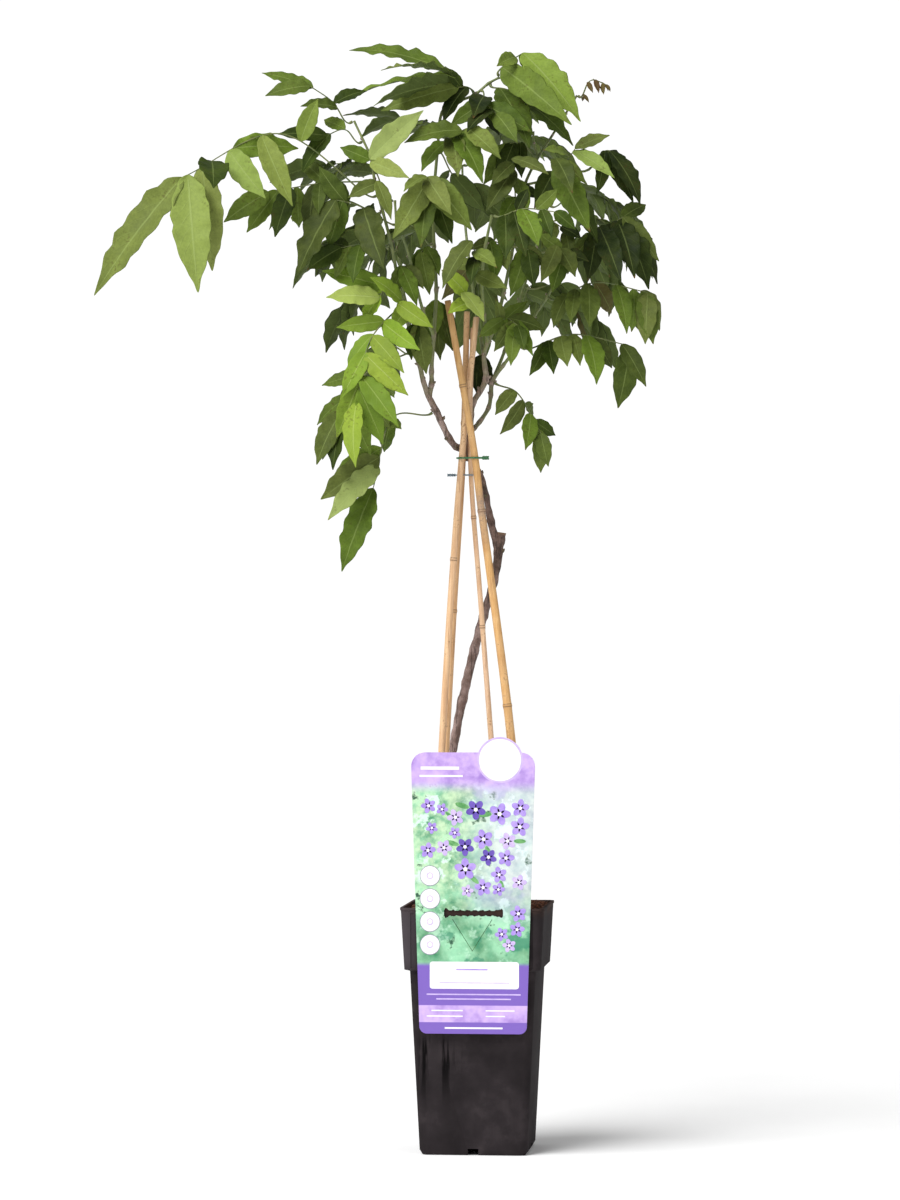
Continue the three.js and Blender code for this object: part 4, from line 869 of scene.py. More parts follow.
# %% The middle line of every shoot
SHOOTS = {
    "trunk": [
        (-35, -24, 187, 4.8), (-34, -25, 208, 4.6), (-31, -27, 267, 4.4), (-21, -29, 336, 4.2),
        (-13, -31, 376, 4.2), (-3, -33, 418, 4.2), (5, -33, 448, 4), (13, -31, 475, 3.9),
        (17, -27, 501, 3.8), (11, -24, 527, 3.3), (7, -21, 548, 3), (2, -17, 566, 2.9),
        (-6, -14, 579, 2.9), (-11, -12, 590, 3),
    ],
    "pruned_stub": [
        (17, -27, 501, 3.8), (19, -26, 511, 3.8), (20, -26, 518, 3.9),
    ],
    "left_branch": [
        (-11, -12.5, 590, 3), (-17, -12, 589, 3), (-24, -12, 597, 3.1), (-31, -8, 611, 2.9),
        (-35, -6, 620, 3.1), (-41, -3, 631, 2.7), (-46, 0, 645, 2.4), (-49, 4, 658, 2.1),
        (-54, 8, 670, 1.8), (-59, 25, 694, 1.7), (-66, 42, 723, 1.6), (-72, 52, 755, 1.5),
        (-79, 55, 782, 1.4), (-86, 55, 809, 1.3), (-89, 54, 827, 1.2), (-95, 52, 841, 1.1),
        (-103, 50, 858, 1),
    ],
    "top_shoot": [
        (-41, -3, 631, 2.3), (-39, -2, 642, 2.2), (-39, 0, 654, 2), (-37, 6, 683, 1.8),
        (-35, 10, 720, 1.7), (-37, 12, 758, 1.6), (-37, 12, 796, 1.5), (-34, 12, 836, 1.4),
        (-29, 12, 871, 1.4), (-15, 10, 879, 1.3), (-3, 8, 884, 1.3), (9, 6, 894, 1.1), (18, 5, 899, 1),
    ],
    "left_front_shoot": [
        (-37, 6, 683, 1.6), (-46, 30, 702, 1.5), (-57, 45, 745, 1.3), (-63, 50, 763, 1.1),
    ],
    "right_branch": [
        (-11, -12.5, 590, 3), (-7, -15, 602, 2.8), (-6, -15, 617, 2.7), (-4, -14, 627, 2.6),
        (2, -12, 637, 2.5), (7, -10, 647, 2.6), (6, -8, 656, 2.3), (5, -6, 667, 2.1), (8, -3, 677, 1.9),
        (13, 0, 688, 1.8), (21, 8, 716, 1.7), (28, 12, 750, 1.6), (34, 14, 783, 1.5), (39, 14, 808, 1.4),
        (50, 10, 831, 1.2), (62, 6, 850, 1.1), (73, 4, 868, 1), (83, 4, 884, 0.9),
    ],
    "third_branch": [
        (-7, -15, 602, 2.4), (-3, -20, 606, 2), (2, -22, 612, 1.9), (9, -22, 623, 1.9),
        (11, -20, 634, 1.9), (12, -16, 645, 2.2), (21, -10, 658, 1.6), (34, 0, 675, 1.5),
        (46, 8, 697, 1.4), (58, 15, 715, 1.3), (73, 20, 741, 1.2), (89, 22, 757, 1.1), (106, 25, 765, 1),
        (112, 26, 771, 0.9),
    ],
    "right_shoot": [
        (39, 14, 808, 1.2), (58, 20, 812, 1.2), (78, 25, 818, 1.1), (91, 28, 819, 1), (102, 30, 831, 0.9),
    ],
    "front_shoot": [
        (8, -3, 677, 1.7), (5, 25, 699, 1.6), (3, 50, 726, 1.5), (6, 68, 754, 1.4), (11, 75, 778, 1.2),
    ],
    "back_right_shoot": [
        (12, -16, 645, 1.8), (23, -45, 673, 1.6), (36, -75, 717, 1.5), (50, -95, 762, 1.4),
        (61, -105, 801, 1.2),
    ],
    "back_left_shoot": [
        (-46, 0, 645, 1.9), (-53, -35, 673, 1.6), (-62, -70, 717, 1.5), (-68, -95, 762, 1.3),
        (-71, -105, 805, 1.1),
    ],
    "back_shoot": [
        (5, -6, 667, 1.9), (0, -50, 699, 1.6), (-6, -90, 744, 1.4), (-11, -115, 793, 1.2),
        (-13, -120, 837, 1),
    ],
    "tip_stub": [
        (50, 10, 831, 1.2), (47, 12, 842, 1.1), (46, 13, 853, 1),
    ],
}
shoot_paths = {name: Path([plant(bend[:3]) for bend in bends]) for name, bends in SHOOTS.items()}
print(len(SHOOTS), "shoots, the trunk is", round(shoot_paths["trunk"].length), "mm long")

# %% Sweep the shoots
THICK_WOOD, FIRST_TRUNK_BUD, BUD_AHEAD = 2.9, 8, 1.5
KNUCKLE_REACH, YOUNG_RADIUS, OLDER_OVER, CUT_RIM, CUT_DEPTH = 2.4, 1.5, 1.2, 0.9, 1.4


def shoot_marks(name):
    path, bends = shoot_paths[name], SHOOTS[name]
    steps = path.STEPS / (len(bends) - 1)
    places = [min(round(steps * number), path.STEPS) for number in range(len(bends))]
    return [(path.marks[place], bend[3]) for place, bend in zip(places, bends)]


def grow_shoot(bm, name, age, cut):
    path, marks = shoot_paths[name], shoot_marks(name)
    spacing, swelling, sides = (2.6, 0.16, 16) if marks[0][1] > THICK_WOOD else (3.6, 0.34, 8)
    count = max(int(path.length / spacing), 6)
    rings = []
    for number in range(count + 1):
        distance = path.length * number / count
        near = min(abs(distance - mark[0]) for mark in marks)
        knuckle = swelling * math.exp(-((near / KNUCKLE_REACH) ** 2))
        rings.append((distance, radii_between(marks, distance) * (0.90 + knuckle)))
    rows, ends = sweep(bm, path, rings, sides)
    for row, (distance, radius) in zip(rows, rings):
        centre = path.at(distance)
        for vertex in row:
            ridges = noise.noise(Vector((vertex.co.x, vertex.co.y, vertex.co.z * 0.12)) * 0.55)
            lumps = noise.noise(vertex.co * 0.16)
            older = clamp((radius - YOUNG_RADIUS) / OLDER_OVER)
            vertex.co += (vertex.co - centre) * (0.05 + 0.13 * older) * (ridges + lumps)
            vertex[age] = older
    for vertex in ends[1][0].verts:
        vertex[cut] = 1.0 if name in ("pruned_stub", "trunk") else 0.0
    if name == "pruned_stub":
        bmesh.ops.inset_region(bm, faces=ends[1], thickness=CUT_RIM)
        bmesh.ops.translate(bm, vec=(0, 0, -CUT_DEPTH), verts=ends[1][0].verts)
    return marks


def add_bud(bm, path, distance, radius, turn, age):
    ahead = path.heading(distance)
    out = Quaternion(ahead, turn) @ ahead.orthogonal().normalized()
    lean = (out * 0.75 + ahead * 0.66).normalized()
    size = 0.55 + radius * 0.32
    bud = bmesh.ops.create_icosphere(bm, subdivisions=2, radius=size)["verts"]
    for vertex in bud:
        tip = max(vertex.co.z / size, 0)
        vertex.co.x *= 1 - 0.55 * tip
        vertex.co.y *= 1 - 0.55 * tip
        vertex.co.z *= 1.5
        vertex[age] = 0.8
    put = Matrix.Translation(path.at(distance) + out * (radius + size * 0.2))
    bmesh.ops.transform(bm, matrix=put @ lean.to_track_quat("Z", "Y").to_matrix().to_4x4(), verts=bud)


stem_bm = bmesh.new()
age, cut_face = (stem_bm.verts.layers.float.new(title) for title in ("age", "cut"))
for name, path in shoot_paths.items():
    marks = grow_shoot(stem_bm, name, age, cut_face)
    first = FIRST_TRUNK_BUD if name == "trunk" else 1
    for number, (distance, radius) in list(enumerate(marks))[first:-1]:
        add_bud(stem_bm, path, distance + BUD_AHEAD, radius, 2.4 * number + len(name), age)
make_piece("wisteria_stem", stem_bm, [bark], ["woody_stem"], TO_PLANT, sharp=60)

# %% [markdown]
# ## The tie
# A green coated wire goes once round the canes and the trunk, and its ends are twisted together. The
# wire lies along the hull of the bundle: in each direction it rests on the cane that reaches furthest
# that way. A thinner bare wire below it still holds two of the canes.

# %% The finish of the wires
def wire_finish(name, colour, other, rough):
    made, tree = new_finish(name)
    soft, crisp = pattern(tree, BLOTCHES, 500.0)
    lay(tree, mix(tree, soft, colour, other), between(tree, crisp, 0.0, 1.0, rough, 0.6))
    return made


green_wire = wire_finish("green coated wire", (0.020, 0.105, 0.035), (0.035, 0.160, 0.060), 0.3)
bare_wire = wire_finish("blue grey wire", (0.120, 0.180, 0.230), (0.230, 0.290, 0.330), 0.38)
print("Made", green_wire.name, "and", bare_wire.name)

# %% Twist the wires round the bundle
SEARCH_STEPS, TRUNK_RADII = 400, (4.8, 3.0)
LOOP_POINTS, TWIST_POINTS, WIRE_SIDES, WIRE_ROOM = 22, 9, 8, 0.6


def ray(angle):
    return Vector((math.cos(angle), math.sin(angle), 0))


def bundle_at(height, names):
    circles = []
    for name in names:
        path = (cane_paths if name in CANES else shoot_paths)[name]
        thick, thin = CANES[name][1] if name in CANES else TRUNK_RADII
        places = [path.length * step / SEARCH_STEPS for step in range(SEARCH_STEPS + 1)]
        step = next(step for step, place in enumerate(places) if path.at(place).z >= height)
        radius = thick + (thin - thick) * step / SEARCH_STEPS
        circles.append((path.at(places[step]), radius / path.heading(places[step]).z))
    return circles


def make_tie(name, material, height, wire, twist, turned, names):
    circles = bundle_at(height, names)

    def hull(angle):
        centre, radius = max(circles, key=lambda circle: circle[0].dot(ray(angle)) + circle[1])
        return Vector((centre.x, centre.y, height)) + ray(angle) * (radius + wire + WIRE_ROOM)

    start, out = hull(turned), ray(turned)
    side = Vector((-out.y, out.x, 0))

    def strand(phase):
        for number in range(TWIST_POINTS):
            angle = phase + number * math.pi / 2.2
            point = start + out * (wire * 2.6 + twist * number / (TWIST_POINTS - 1))
            yield point + (side * math.cos(angle) + Vector((0, 0, math.sin(angle)))) * wire * 1.3

    loop = [hull(turned + number * math.tau / LOOP_POINTS) for number in range(1, LOOP_POINTS)]
    path = Path([*reversed([*strand(0)]), *loop, *strand(math.pi)])
    count = int(path.length / 0.9)
    bm = bmesh.new()
    sweep(bm, path, [(path.length * number / count, wire) for number in range(count + 1)], WIRE_SIDES)
    make_piece(f"{name}_twist", bm, [material], [name], TO_PLANT, sharp=50)


make_tie("wire_tie", green_wire, 580, 0.8, 5, -0.2, [*CANES, "trunk"])
make_tie("lower_wire_tie", bare_wire, 566, 0.6, 7, 2.9, ["cane_left_back", "cane_thin"])

# %% [markdown]
# ## The finish of the leaves
# A wisteria leaflet is satin green above with a pale midrib and faint side veins, and duller and paler
# below. The veins are drawn from the leaflet's own UV square: across it for the midrib, and slanted
# lines along it for the side veins. They are a node group, because the green and the young leaves both
# use them. Three attributes vary the leaflets: how light each one is, which paints the light and shade
# that falls on it (above one it is wan, as if seen from below), how bronze, and which of its faces lie
# below. A hue drifts with the first of them, so that no two fronds have quite the same green. The lit
# leaflets also get pale patches of painted sheen, and their veins show more.

# %% Veins as a node group
veins = bpy.data.node_groups.new("leaf veins", "ShaderNodeTree")
flat = add(veins, "SeparateXYZ", {0: add(veins, "TexCoord").outputs["UV"]}).outputs
aside = maths(veins, "ABSOLUTE", ramp(veins, flat["X"], 2.0, -1.0))
slant = ramp(veins, aside, -0.17, flat["Y"])
slant = ramp(veins, both(veins, aside, aside), -0.06, slant)
teeth = maths(veins, "FRACT", maths(veins, "MULTIPLY", slant, 9.0))
comb = maths(veins, "ABSOLUTE", ramp(veins, teeth, 2.0, -1.0))
give_back(veins, {
    "Midrib": between(veins, aside, 0.075, 0.025),
    "Side veins": both(veins, between(veins, comb, 0.84, 1.0), between(veins, aside, 0.97, 0.8)),
    "Tip": between(veins, flat["Y"], 0.9, 1.0),
})
print("The vein group has", len(veins.nodes), "nodes")

# %% Green and young leaf finishes
def leaf_finish(name, dark, light, rib, below, wan, hue):
    made, tree = new_finish(name)
    lines = add(tree, "Group", node_tree=veins).outputs
    soft, crisp = pattern(tree, BLOTCHES, 55.0)
    fine, specks = pattern(tree, BLOTCHES, 420.0)
    tone = attribute(tree, "tone")
    # painted light and shade: the tone runs each leaflet's green from dark to light
    top = coat(
        tree, mix(tree, tone, dark, light),
        # painted sheen: pale patches that grow with the tone
        (both(tree, soft, ramp(tree, tone, 0.55, 0.1)), light),
        (both(tree, fine, 0.2), dark),
    )
    vivid = maths(tree, "FRACT", maths(tree, "MULTIPLY", tone, 7.3))
    colour = coat(
        tree, mix(tree, vivid, top, hue, "MULTIPLY"),
        (both(tree, between(tree, tone, 1.0, 1.6), 0.8), wan),
        (attribute(tree, "under"), below),
        (attribute(tree, "bronze"), (0.090, 0.042, 0.018)),
        # the veins show more on the lit leaflets and fade on those in painted shade
        (both(tree, lines["Side veins"], ramp(tree, tone, 0.10, 0.05)), rib),
        (both(tree, lines["Midrib"], ramp(tree, tone, 0.30, 0.22)), rib),
        (both(tree, lines["Tip"], crisp), (0.120, 0.060, 0.020)),  # a scorched tip
        (both(tree, specks, crisp, 0.4), (0.060, 0.035, 0.010)),  # brown specks
    )
    relief = maths(tree, "ADD", both(tree, lines["Midrib"], -0.8), both(tree, lines["Side veins"], -0.5))
    lay(tree, colour, between(tree, soft, 0.0, 1.0, 0.50, 0.62), relief, specular=0.1)
    return made


leaf_green = leaf_finish(
    "green leaf", dark=(0.007, 0.015, 0.001), light=(0.224, 0.270, 0.062), rib=(0.26, 0.33, 0.10),
    below=(0.085, 0.118, 0.030), wan=(0.340, 0.390, 0.160), hue=(0.76, 1.0, 0.45),
)
leaf_young = leaf_finish(
    "young leaf", dark=(0.115, 0.170, 0.022), light=(0.280, 0.370, 0.040), rib=(0.40, 0.48, 0.15),
    below=(0.20, 0.28, 0.05), wan=(0.420, 0.470, 0.200), hue=(0.85, 1.0, 0.80),
)
stalk_green, tree = new_finish("leaf stalk")
soft, _ = pattern(tree, BLOTCHES, 90.0)
lay(tree, mix(tree, soft, (0.060, 0.095, 0.020), (0.170, 0.185, 0.055)), 0.5, soft, strength=0.2)
print("Made", leaf_green.name, leaf_young.name, stalk_green.name)

# %% [markdown]
# ## One leaflet
# All leaflets grow from one pattern. It is a small grid with a UV square, squeezed to an egg shape with
# a drawn-out tip: narrow rows at its foot make the short stalk of the leaflet. Solidify gives it a
# thickness and a lower side, whose faces are marked. Each leaflet is a copy of the pattern, laid from
# its foot to its tip with its own width, fold, arch and wavy margin. A Subdivision modifier rounds them
# afterwards, so that hundreds of them stay light while they are built.

# %% The pattern of a leaflet
ROWS = (0.0, 0.04, 0.09, *(0.15 + 0.07 * row for row in range(10)), 0.85, 0.9, 0.95, 1.0)


def half_width(along):
    if not 0 < along < 1:
        return 0.0
    drawn_out = 1 - 0.5 * clamp((along - 0.76) / 0.16)
    return math.sin(math.pi * along ** 0.74) ** 0.75 * drawn_out


pattern_bm = bmesh.new()
pattern_uv = pattern_bm.loops.layers.uv.new("leaflet")
below = pattern_bm.faces.layers.float.new("under")
bmesh.ops.create_grid(pattern_bm, x_segments=4, y_segments=len(ROWS) - 1, size=1.0)
for vertex in pattern_bm.verts:
    vertex.co.y = ROWS[round((vertex.co.y + 1) * (len(ROWS) - 1) / 2)]
for face in pattern_bm.faces:
    for corner in face.loops:
        corner[pattern_uv].uv = ((corner.vert.co.x + 1) / 2, corner.vert.co.y)
tip_row = [vertex for vertex in pattern_bm.verts if vertex.co.y > 0.99]
bmesh.ops.pointmerge(pattern_bm, verts=tip_row, merge_co=(0, 1, 0))
bmesh.ops.solidify(pattern_bm, geom=pattern_bm.faces[:], thickness=1.0)
for face in pattern_bm.faces:
    face[below] = 1.0 if all(vertex.co.z < -0.5 for vertex in face.verts) else 0.0
leaflet_pattern = as_mesh("leaflet pattern", pattern_bm)
print("One leaflet has", len(leaflet_pattern.polygons), "faces")

# %% Lay a leaflet from its foot to its tip
LEAF_THICK, BREADTH, BREADTH_POWER = 0.55, 1.45, 0.62
LONG_FROM, LONG_OVER, STEM_END, STEM_HALF, RIB_DEPTH = 40, 40, 0.1, 0.5, 0.25


def chance(number):
    value = math.sin(number * 12.9898 + 4.137) * 43758.5453
    return value - math.floor(value)


def lay_leaflet(bm, foot, tip, face, turn, number, tone, bronze, slim):
    along = tip - foot
    length = along.length
    along.normalize()
    normal = (face - along * face.dot(along)).normalized()
    normal.rotate(Quaternion(along, turn + 0.35 * (2 * chance(number) - 1)))
    across = along.cross(normal)
    half = (0.92 + 0.16 * chance(number + 0.5)) * BREADTH * length ** BREADTH_POWER / 2
    half *= slim * (1.0 + 0.28 * chance(number + 0.15))
    droop, sway = 0.07 * chance(number + 0.7), 0.08 * (chance(number + 0.9) - 0.5)
    twist, waves = 0.8 * (chance(number + 0.77) - 0.5), 24 + 12 * chance(number + 0.27)
    fold, long = 0.12 + 0.22 * chance(number + 0.83), clamp((length - LONG_FROM) / LONG_OVER)
    waves *= 1 + 0.15 * long
    start, faces = len(bm.verts), len(bm.faces)
    bm.from_mesh(leaflet_pattern)
    bm.verts.ensure_lookup_table()
    bm.faces.ensure_lookup_table()
    for vertex in bm.verts[start:]:
        side, share, layer = vertex.co
        margin = abs(side)
        uneven = 0.7 + 0.5 * long + 0.4 * math.sin(share * waves * 0.37 + 2.3 * number + side)
        notch = uneven * math.sin(share * waves + number + 2 * side)
        half_here = half * half_width(share) * (1 + (0.09 + 0.05 * long) * notch)
        half_here = max(half_here, STEM_HALF if share < STEM_END else 0.0)
        ripple = math.cos(math.tau * (share - 0.13) / 0.65) * math.copysign(1, side)
        frill = uneven * math.cos(share * waves + number + 2 * side) * (0.20 + 0.15 * long) * margin
        turned = twist * (share - 0.4) * side / max(margin, 0.1)
        rise = (fold + 0.08 * ripple + frill + turned) * margin * half_here
        arch = (0.05 * 4 * share * (1 - share) - droop * share ** 3) * length
        groove = -RIB_DEPTH if margin < 0.1 and share < 0.9 else 0.0
        vertex.co = (
            foot + along * (share * length * 1.01 - 0.4)
            + across * (side * half_here + sway * length * share * (1 - share) * 2)
            + normal * (arch + rise + groove + (layer + 0.5) * LEAF_THICK)
        )
    tones, bronzes = (bm.faces.layers.float[title] for title in ("tone", "bronze"))
    for blade in bm.faces[faces:]:
        blade[tones], blade[bronzes] = tone, bronze
        blade.material_index = 0


print("A leaflet of 50 mm is", round(BREADTH * 50 ** BREADTH_POWER, 1), "mm wide")

# %% [markdown]
# ## The fronds
# A wisteria leaf is a frond: a thin stalk with a swollen foot, leaflets in pairs along it and one at its
# end. For the fronds that show, every leaflet is listed by the share of the stalk where it grows and
# the place of its tip. The fronds inside and behind follow a rule, opposite pairs that hang down. A
# stalk leaves its shoot square to it and bends on through one point to its end. In the measured model
# leaflets were swung apart where they would have met, so each tip is looked up among its points.

# %% The fronds that show
FRONDS = [
    ("long_left", "left_branch", 12.5, (-163, 75, 845), (-243, 95, 807), (0, 1, 0.25), [
        (1, -316, 100, 709), (0.97, -229, 112, 711), (0.9, -219, 86, 730), (0.85, -215, 135, 795),
        (0.76, -174, 102, 789), (0.74, -147, 60, 835), (0.6, -152, 92, 783), (0.42, -132, 70, 875),
    ]),
    ("left_twig", "left_branch", 15, (-110, 54, 851), (-126, 56, 845), (0, 0.8, 0.6), [
        (1, -167, 62, 846), (0.9, -147, 72, 814), (0.55, -129, 38, 861),
    ]),
    ("left_tip", "left_branch", 16, (-120, 50, 873), (-140, 52, 887), (0, 0.8, 0.7), [
        (1, -177, 60, 879), (0.93, -181, 38, 900), (0.42, -147, 66, 870), (0.5, -92, 34, 885),
    ]),
    ("left_yellow", "left_branch", 13.4, (-87, 60, 818), (-90, 62, 826), (0, 1, 0.3), [
        (1, -45, 66, 866), (0.75, -57, 84, 808), (0.9, -115, 60, 836),
    ]),
    ("top_left", "top_shoot", 9.4, (-13, 14, 892), (-27, 20, 903), (0, 0.35, 1), [
        (1, -109, 0, 927), (0.8, -81, 72, 897), (0.62, -121, -40, 886), (0.42, -90, 62, 872, 1.15),
    ]),
    ("top_right", "top_shoot", 11, (23, 10, 889), (37, 16, 879), (0, 0.8, 0.8), [
        (0.55, 53, -14, 862), (1, 81, 14, 841), (0.3, 43, 58, 834), (0.95, 59, -20, 887),
    ]),
    ("top_crown", "top_shoot", 12, (25, 8, 911), (38, 12, 919), (0, 0.9, 0.5), [
        (1, 86, 44, 859), (0.85, 85, -22, 878), (0.3, 76, 70, 855), (0.75, 15, 34, 905),
    ]),
    ("young_tip", "right_branch", 17, (94, 6, 897), (108, 10, 892), (0, 0.7, 0.8), [
        (1, 111, 12, 886), (0.9, 105, 16, 883), (0.85, 110, 0, 888), (0.7, 101, 18, 884),
        (0.65, 105, -2, 887), (0.5, 96, 16, 885), (0.2, 93, 14, 877), (0.15, 88, -2, 880),
    ]),
    ("right_small", "right_shoot", 1.5, (74, 32, 827), (81, 36, 837), (0, 0.9, 0.6), [
        (1, 110, 32, 849), (0.9, 113, 62, 811), (0.7, 54, 60, 834), (0.5, 68, 50, 799),
    ]),
    ("right_dark", "right_shoot", 4, (106, 33, 835), (110, 36, 834), (0.3, 0.9, 0.4), [
        (1, 136, 48, 788), (0.55, 98, 62, 796), (0.9, 129, -2, 809),
    ]),
    ("right_a", "third_branch", 13, (116, 30, 777), (121, 32, 780), (0.3, 0.9, 0.4), [
        (1, 151, 36, 742), (0.85, 153, 6, 725), (0.6, 129, 58, 727), (0.3, 105, 60, 737),
        (0.9, 141, 10, 792),
    ]),
    ("right_b", "third_branch", 9, (96, 35, 725), (141, 45, 716), (0.1, 1, 0.25), [
        (0.22, 62, 42, 687), (0.44, 92, 54, 686), (0.5, 113, 12, 700), (0.7, 123, 62, 681),
        (0.86, 128, 30, 683), (1, 138, 54, 672), (0.93, 153, 22, 685),
    ]),
    ("right_c", "third_branch", 7, (78, 18, 683), (127, 22, 673), (0.1, 1, 0.25), [
        (0.28, 63, 30, 649), (0.3, 52, -18, 662), (0.5, 85, 32, 656), (0.62, 99, 40, 640),
        (0.68, 113, 4, 654), (0.93, 140, 34, 638), (1, 117, 12, 620),
    ]),
    ("low_right", "third_branch", 5, (32, -4, 636), (53, 6, 600), (0.2, 1, 0.2), [
        (0.32, 14, 6, 616), (0.5, 18, 10, 599), (0.55, 47, -24, 618), (0.7, 40, 18, 586),
        (0.8, 66, -10, 599), (1, 59, 8, 572), (0.93, 53, -12, 567),
    ]),
    ("bright_front", "left_branch", 9.5, (-90, 78, 673), (-100, 85, 623), (-0.15, 1, 0.25), [
        (0.28, -118, 64, 686), (0.3, -49, 90, 666), (0.46, -109, 76, 649), (0.48, -61, 96, 647),
        (0.62, -113, 78, 627), (0.64, -57, 99, 628), (0.78, -118, 72, 594), (0.8, -65, 104, 602),
        (1, -101, 112, 569), (0.9, -78, 84, 588),
    ]),
    ("low_left", "left_branch", 4, (-70, -2, 616), (-88, 8, 554), (-0.1, 1, 0.2), [
        (0.4, -64, 12, 604), (0.36, -80, -28, 584), (0.72, -133, 0, 545), (0.8, -126, 28, 528),
        (1, -115, 15, 484), (0.64, -123, -26, 562),
    ]),
    ("behind_left", "left_branch", 8, (-94, 22, 650), (-115, 30, 616), (-0.3, 1, 0.3), [
        (0.55, -132, 10, 641), (0.8, -136, 10, 607), (1, -130, 38, 577), (0.85, -89, 26, 581),
        (0.6, -73, 4, 602), (0.35, -70, -14, 631),
    ]),
    ("left_light", "left_branch", 10, (-76, 56, 722), (-82, 62, 710), (-0.1, 0.9, 0.5), [
        (1, -126, 74, 711), (0.6, -131, 44, 735), (0.8, -120, 36, 719), (0.9, -96, 52, 691),
    ]),
    ("left_b", "left_branch", 12, (-102, 64, 788), (-118, 68, 791), (-0.1, 1, 0.3), [
        (1, -150, 78, 728), (0.85, -124, 60, 751), (0.4, -78, 94, 732), (0.8, -132, 70, 819),
    ]),
    ("left_c", "left_branch", 13, (-129, 56, 806), (-174, 58, 798), (0, 1, 0.35), [
        (1, -211, 66, 773), (0.9, -193, 50, 765), (0.78, -168, 74, 759), (0.72, -149, 40, 769),
        (0.5, -132, 76, 779), (0.45, -148, 40, 828), (0.3, -117, 36, 774),
    ]),
    ("left_d", "left_branch", 11, (-96, 60, 755), (-114, 62, 752), (-0.2, 1, 0.4), [
        (1, -142, 68, 733), (0.85, -131, 42, 757), (0.6, -104, 80, 722), (0.5, -93, 40, 777),
        (0.8, -120, 46, 726),
    ]),
    ("front_right", "front_shoot", 4, (37, 90, 782), (63, 94, 779), (0.1, 1, 0.35), [
        (0.2, 22, 108, 739), (0.36, 39, 104, 742), (0.5, 49, 112, 750), (0.8, 60, 108, 757),
        (1, 80, 98, 764), (0.42, 41, 82, 800), (0.72, 65, 84, 799),
    ]),
    ("front_low", "front_shoot", 2, (-2, 72, 743), (-6, 78, 757), (-0.1, 1, 0.35), [
        (1, -31, 94, 717), (0.8, 15, 100, 734), (0.55, -22, 56, 737), (0.35, 24, 84, 717),
        (0.7, -7, 100, 719),
    ]),
    ("front_bright", "front_shoot", 1, (-6, 36, 713), (-13, 42, 717), (0.1, 1, 0.4), [
        (1, 5, 64, 691), (0.9, -30, 60, 734), (0.5, -25, 56, 699),
    ]),
    ("front_left", "left_front_shoot", 1, (-61, 52, 709), (-67, 62, 706), (-0.1, 1, 0.4), [
        (1, -37, 76, 685), (0.85, -89, 80, 727), (0.5, -72, 60, 683),
    ]),
    ("centre_top", "top_shoot", 7, (-22, 42, 846), (-9, 62, 851), (0, 0.9, 0.7), [
        (0.85, -62, 66, 840), (1, 19, 82, 824), (0.7, 4, 92, 805), (0.4, -48, 54, 817),
        (0.6, -17, 84, 809), (0.5, 18, 40, 838),
    ]),
    ("top_dark", "top_shoot", 10.4, (6, 34, 875), (15, 46, 864), (0, 0.9, 0.5), [
        (1, 32, 70, 839), (0.85, -10, 72, 847), (0.7, 44, 34, 849), (0.6, -24, 40, 855),
        (0.5, 18, 14, 849), (0.35, -4, 62, 861),
    ]),
    ("centre_low", "right_branch", 9, (23, 26, 696), (33, 38, 689), (0.1, 1, 0.4), [
        (1, 38, 52, 668), (0.85, 13, 34, 667), (0.7, 56, 34, 686), (0.55, 0, 20, 680), (0.4, 15, 44, 712),
        (0.9, 27, 18, 655), (0.3, 42, 6, 712),
    ]),
    ("centre_left", "top_shoot", 6, (-40, 46, 809), (-43, 72, 810), (-0.1, 1, 0.5), [
        (1, -62, 90, 796), (0.9, -22, 92, 777), (0.7, -71, 77, 758), (0.6, -48, 80, 751),
        (0.8, -5, 74, 765), (0.45, -22, 56, 756), (0.3, -63, 44, 775),
    ]),
    ("centre_right", "right_branch", 12, (30, 46, 809), (28, 66, 826), (0.1, 1, 0.5), [
        (1, 58, 88, 811), (0.8, 6, 84, 781), (0.66, 42, 72, 782), (0.9, 10, 72, 802), (0.5, 54, 44, 793),
        (0.35, 18, 48, 774), (0.3, 43, 30, 767),
    ]),
    ("right_centre", "right_shoot", 1, (64, 46, 818), (64, 62, 826), (0.2, 1, 0.4), [
        (1, 77, 92, 796), (0.75, 92, 78, 764), (0.6, 102, 58, 756), (0.5, 46, 66, 784),
        (0.9, 91, 56, 805),
    ]),
    ("right_low", "third_branch", 10, (69, 46, 750), (65, 60, 754), (0.1, 1, 0.3), [
        (1, 51, 78, 722), (0.8, 80, 74, 728), (0.5, 92, 56, 741), (0.7, 49, 56, 765), (0.35, 61, 48, 716),
    ]),
    ("right_shade", "third_branch", 11.5, (96, 32, 767), (101, 36, 772), (0.2, 1, 0.3), [
        (1, 117, 64, 722), (0.8, 91, 40, 725), (0.5, 77, 6, 744),
    ]),
]

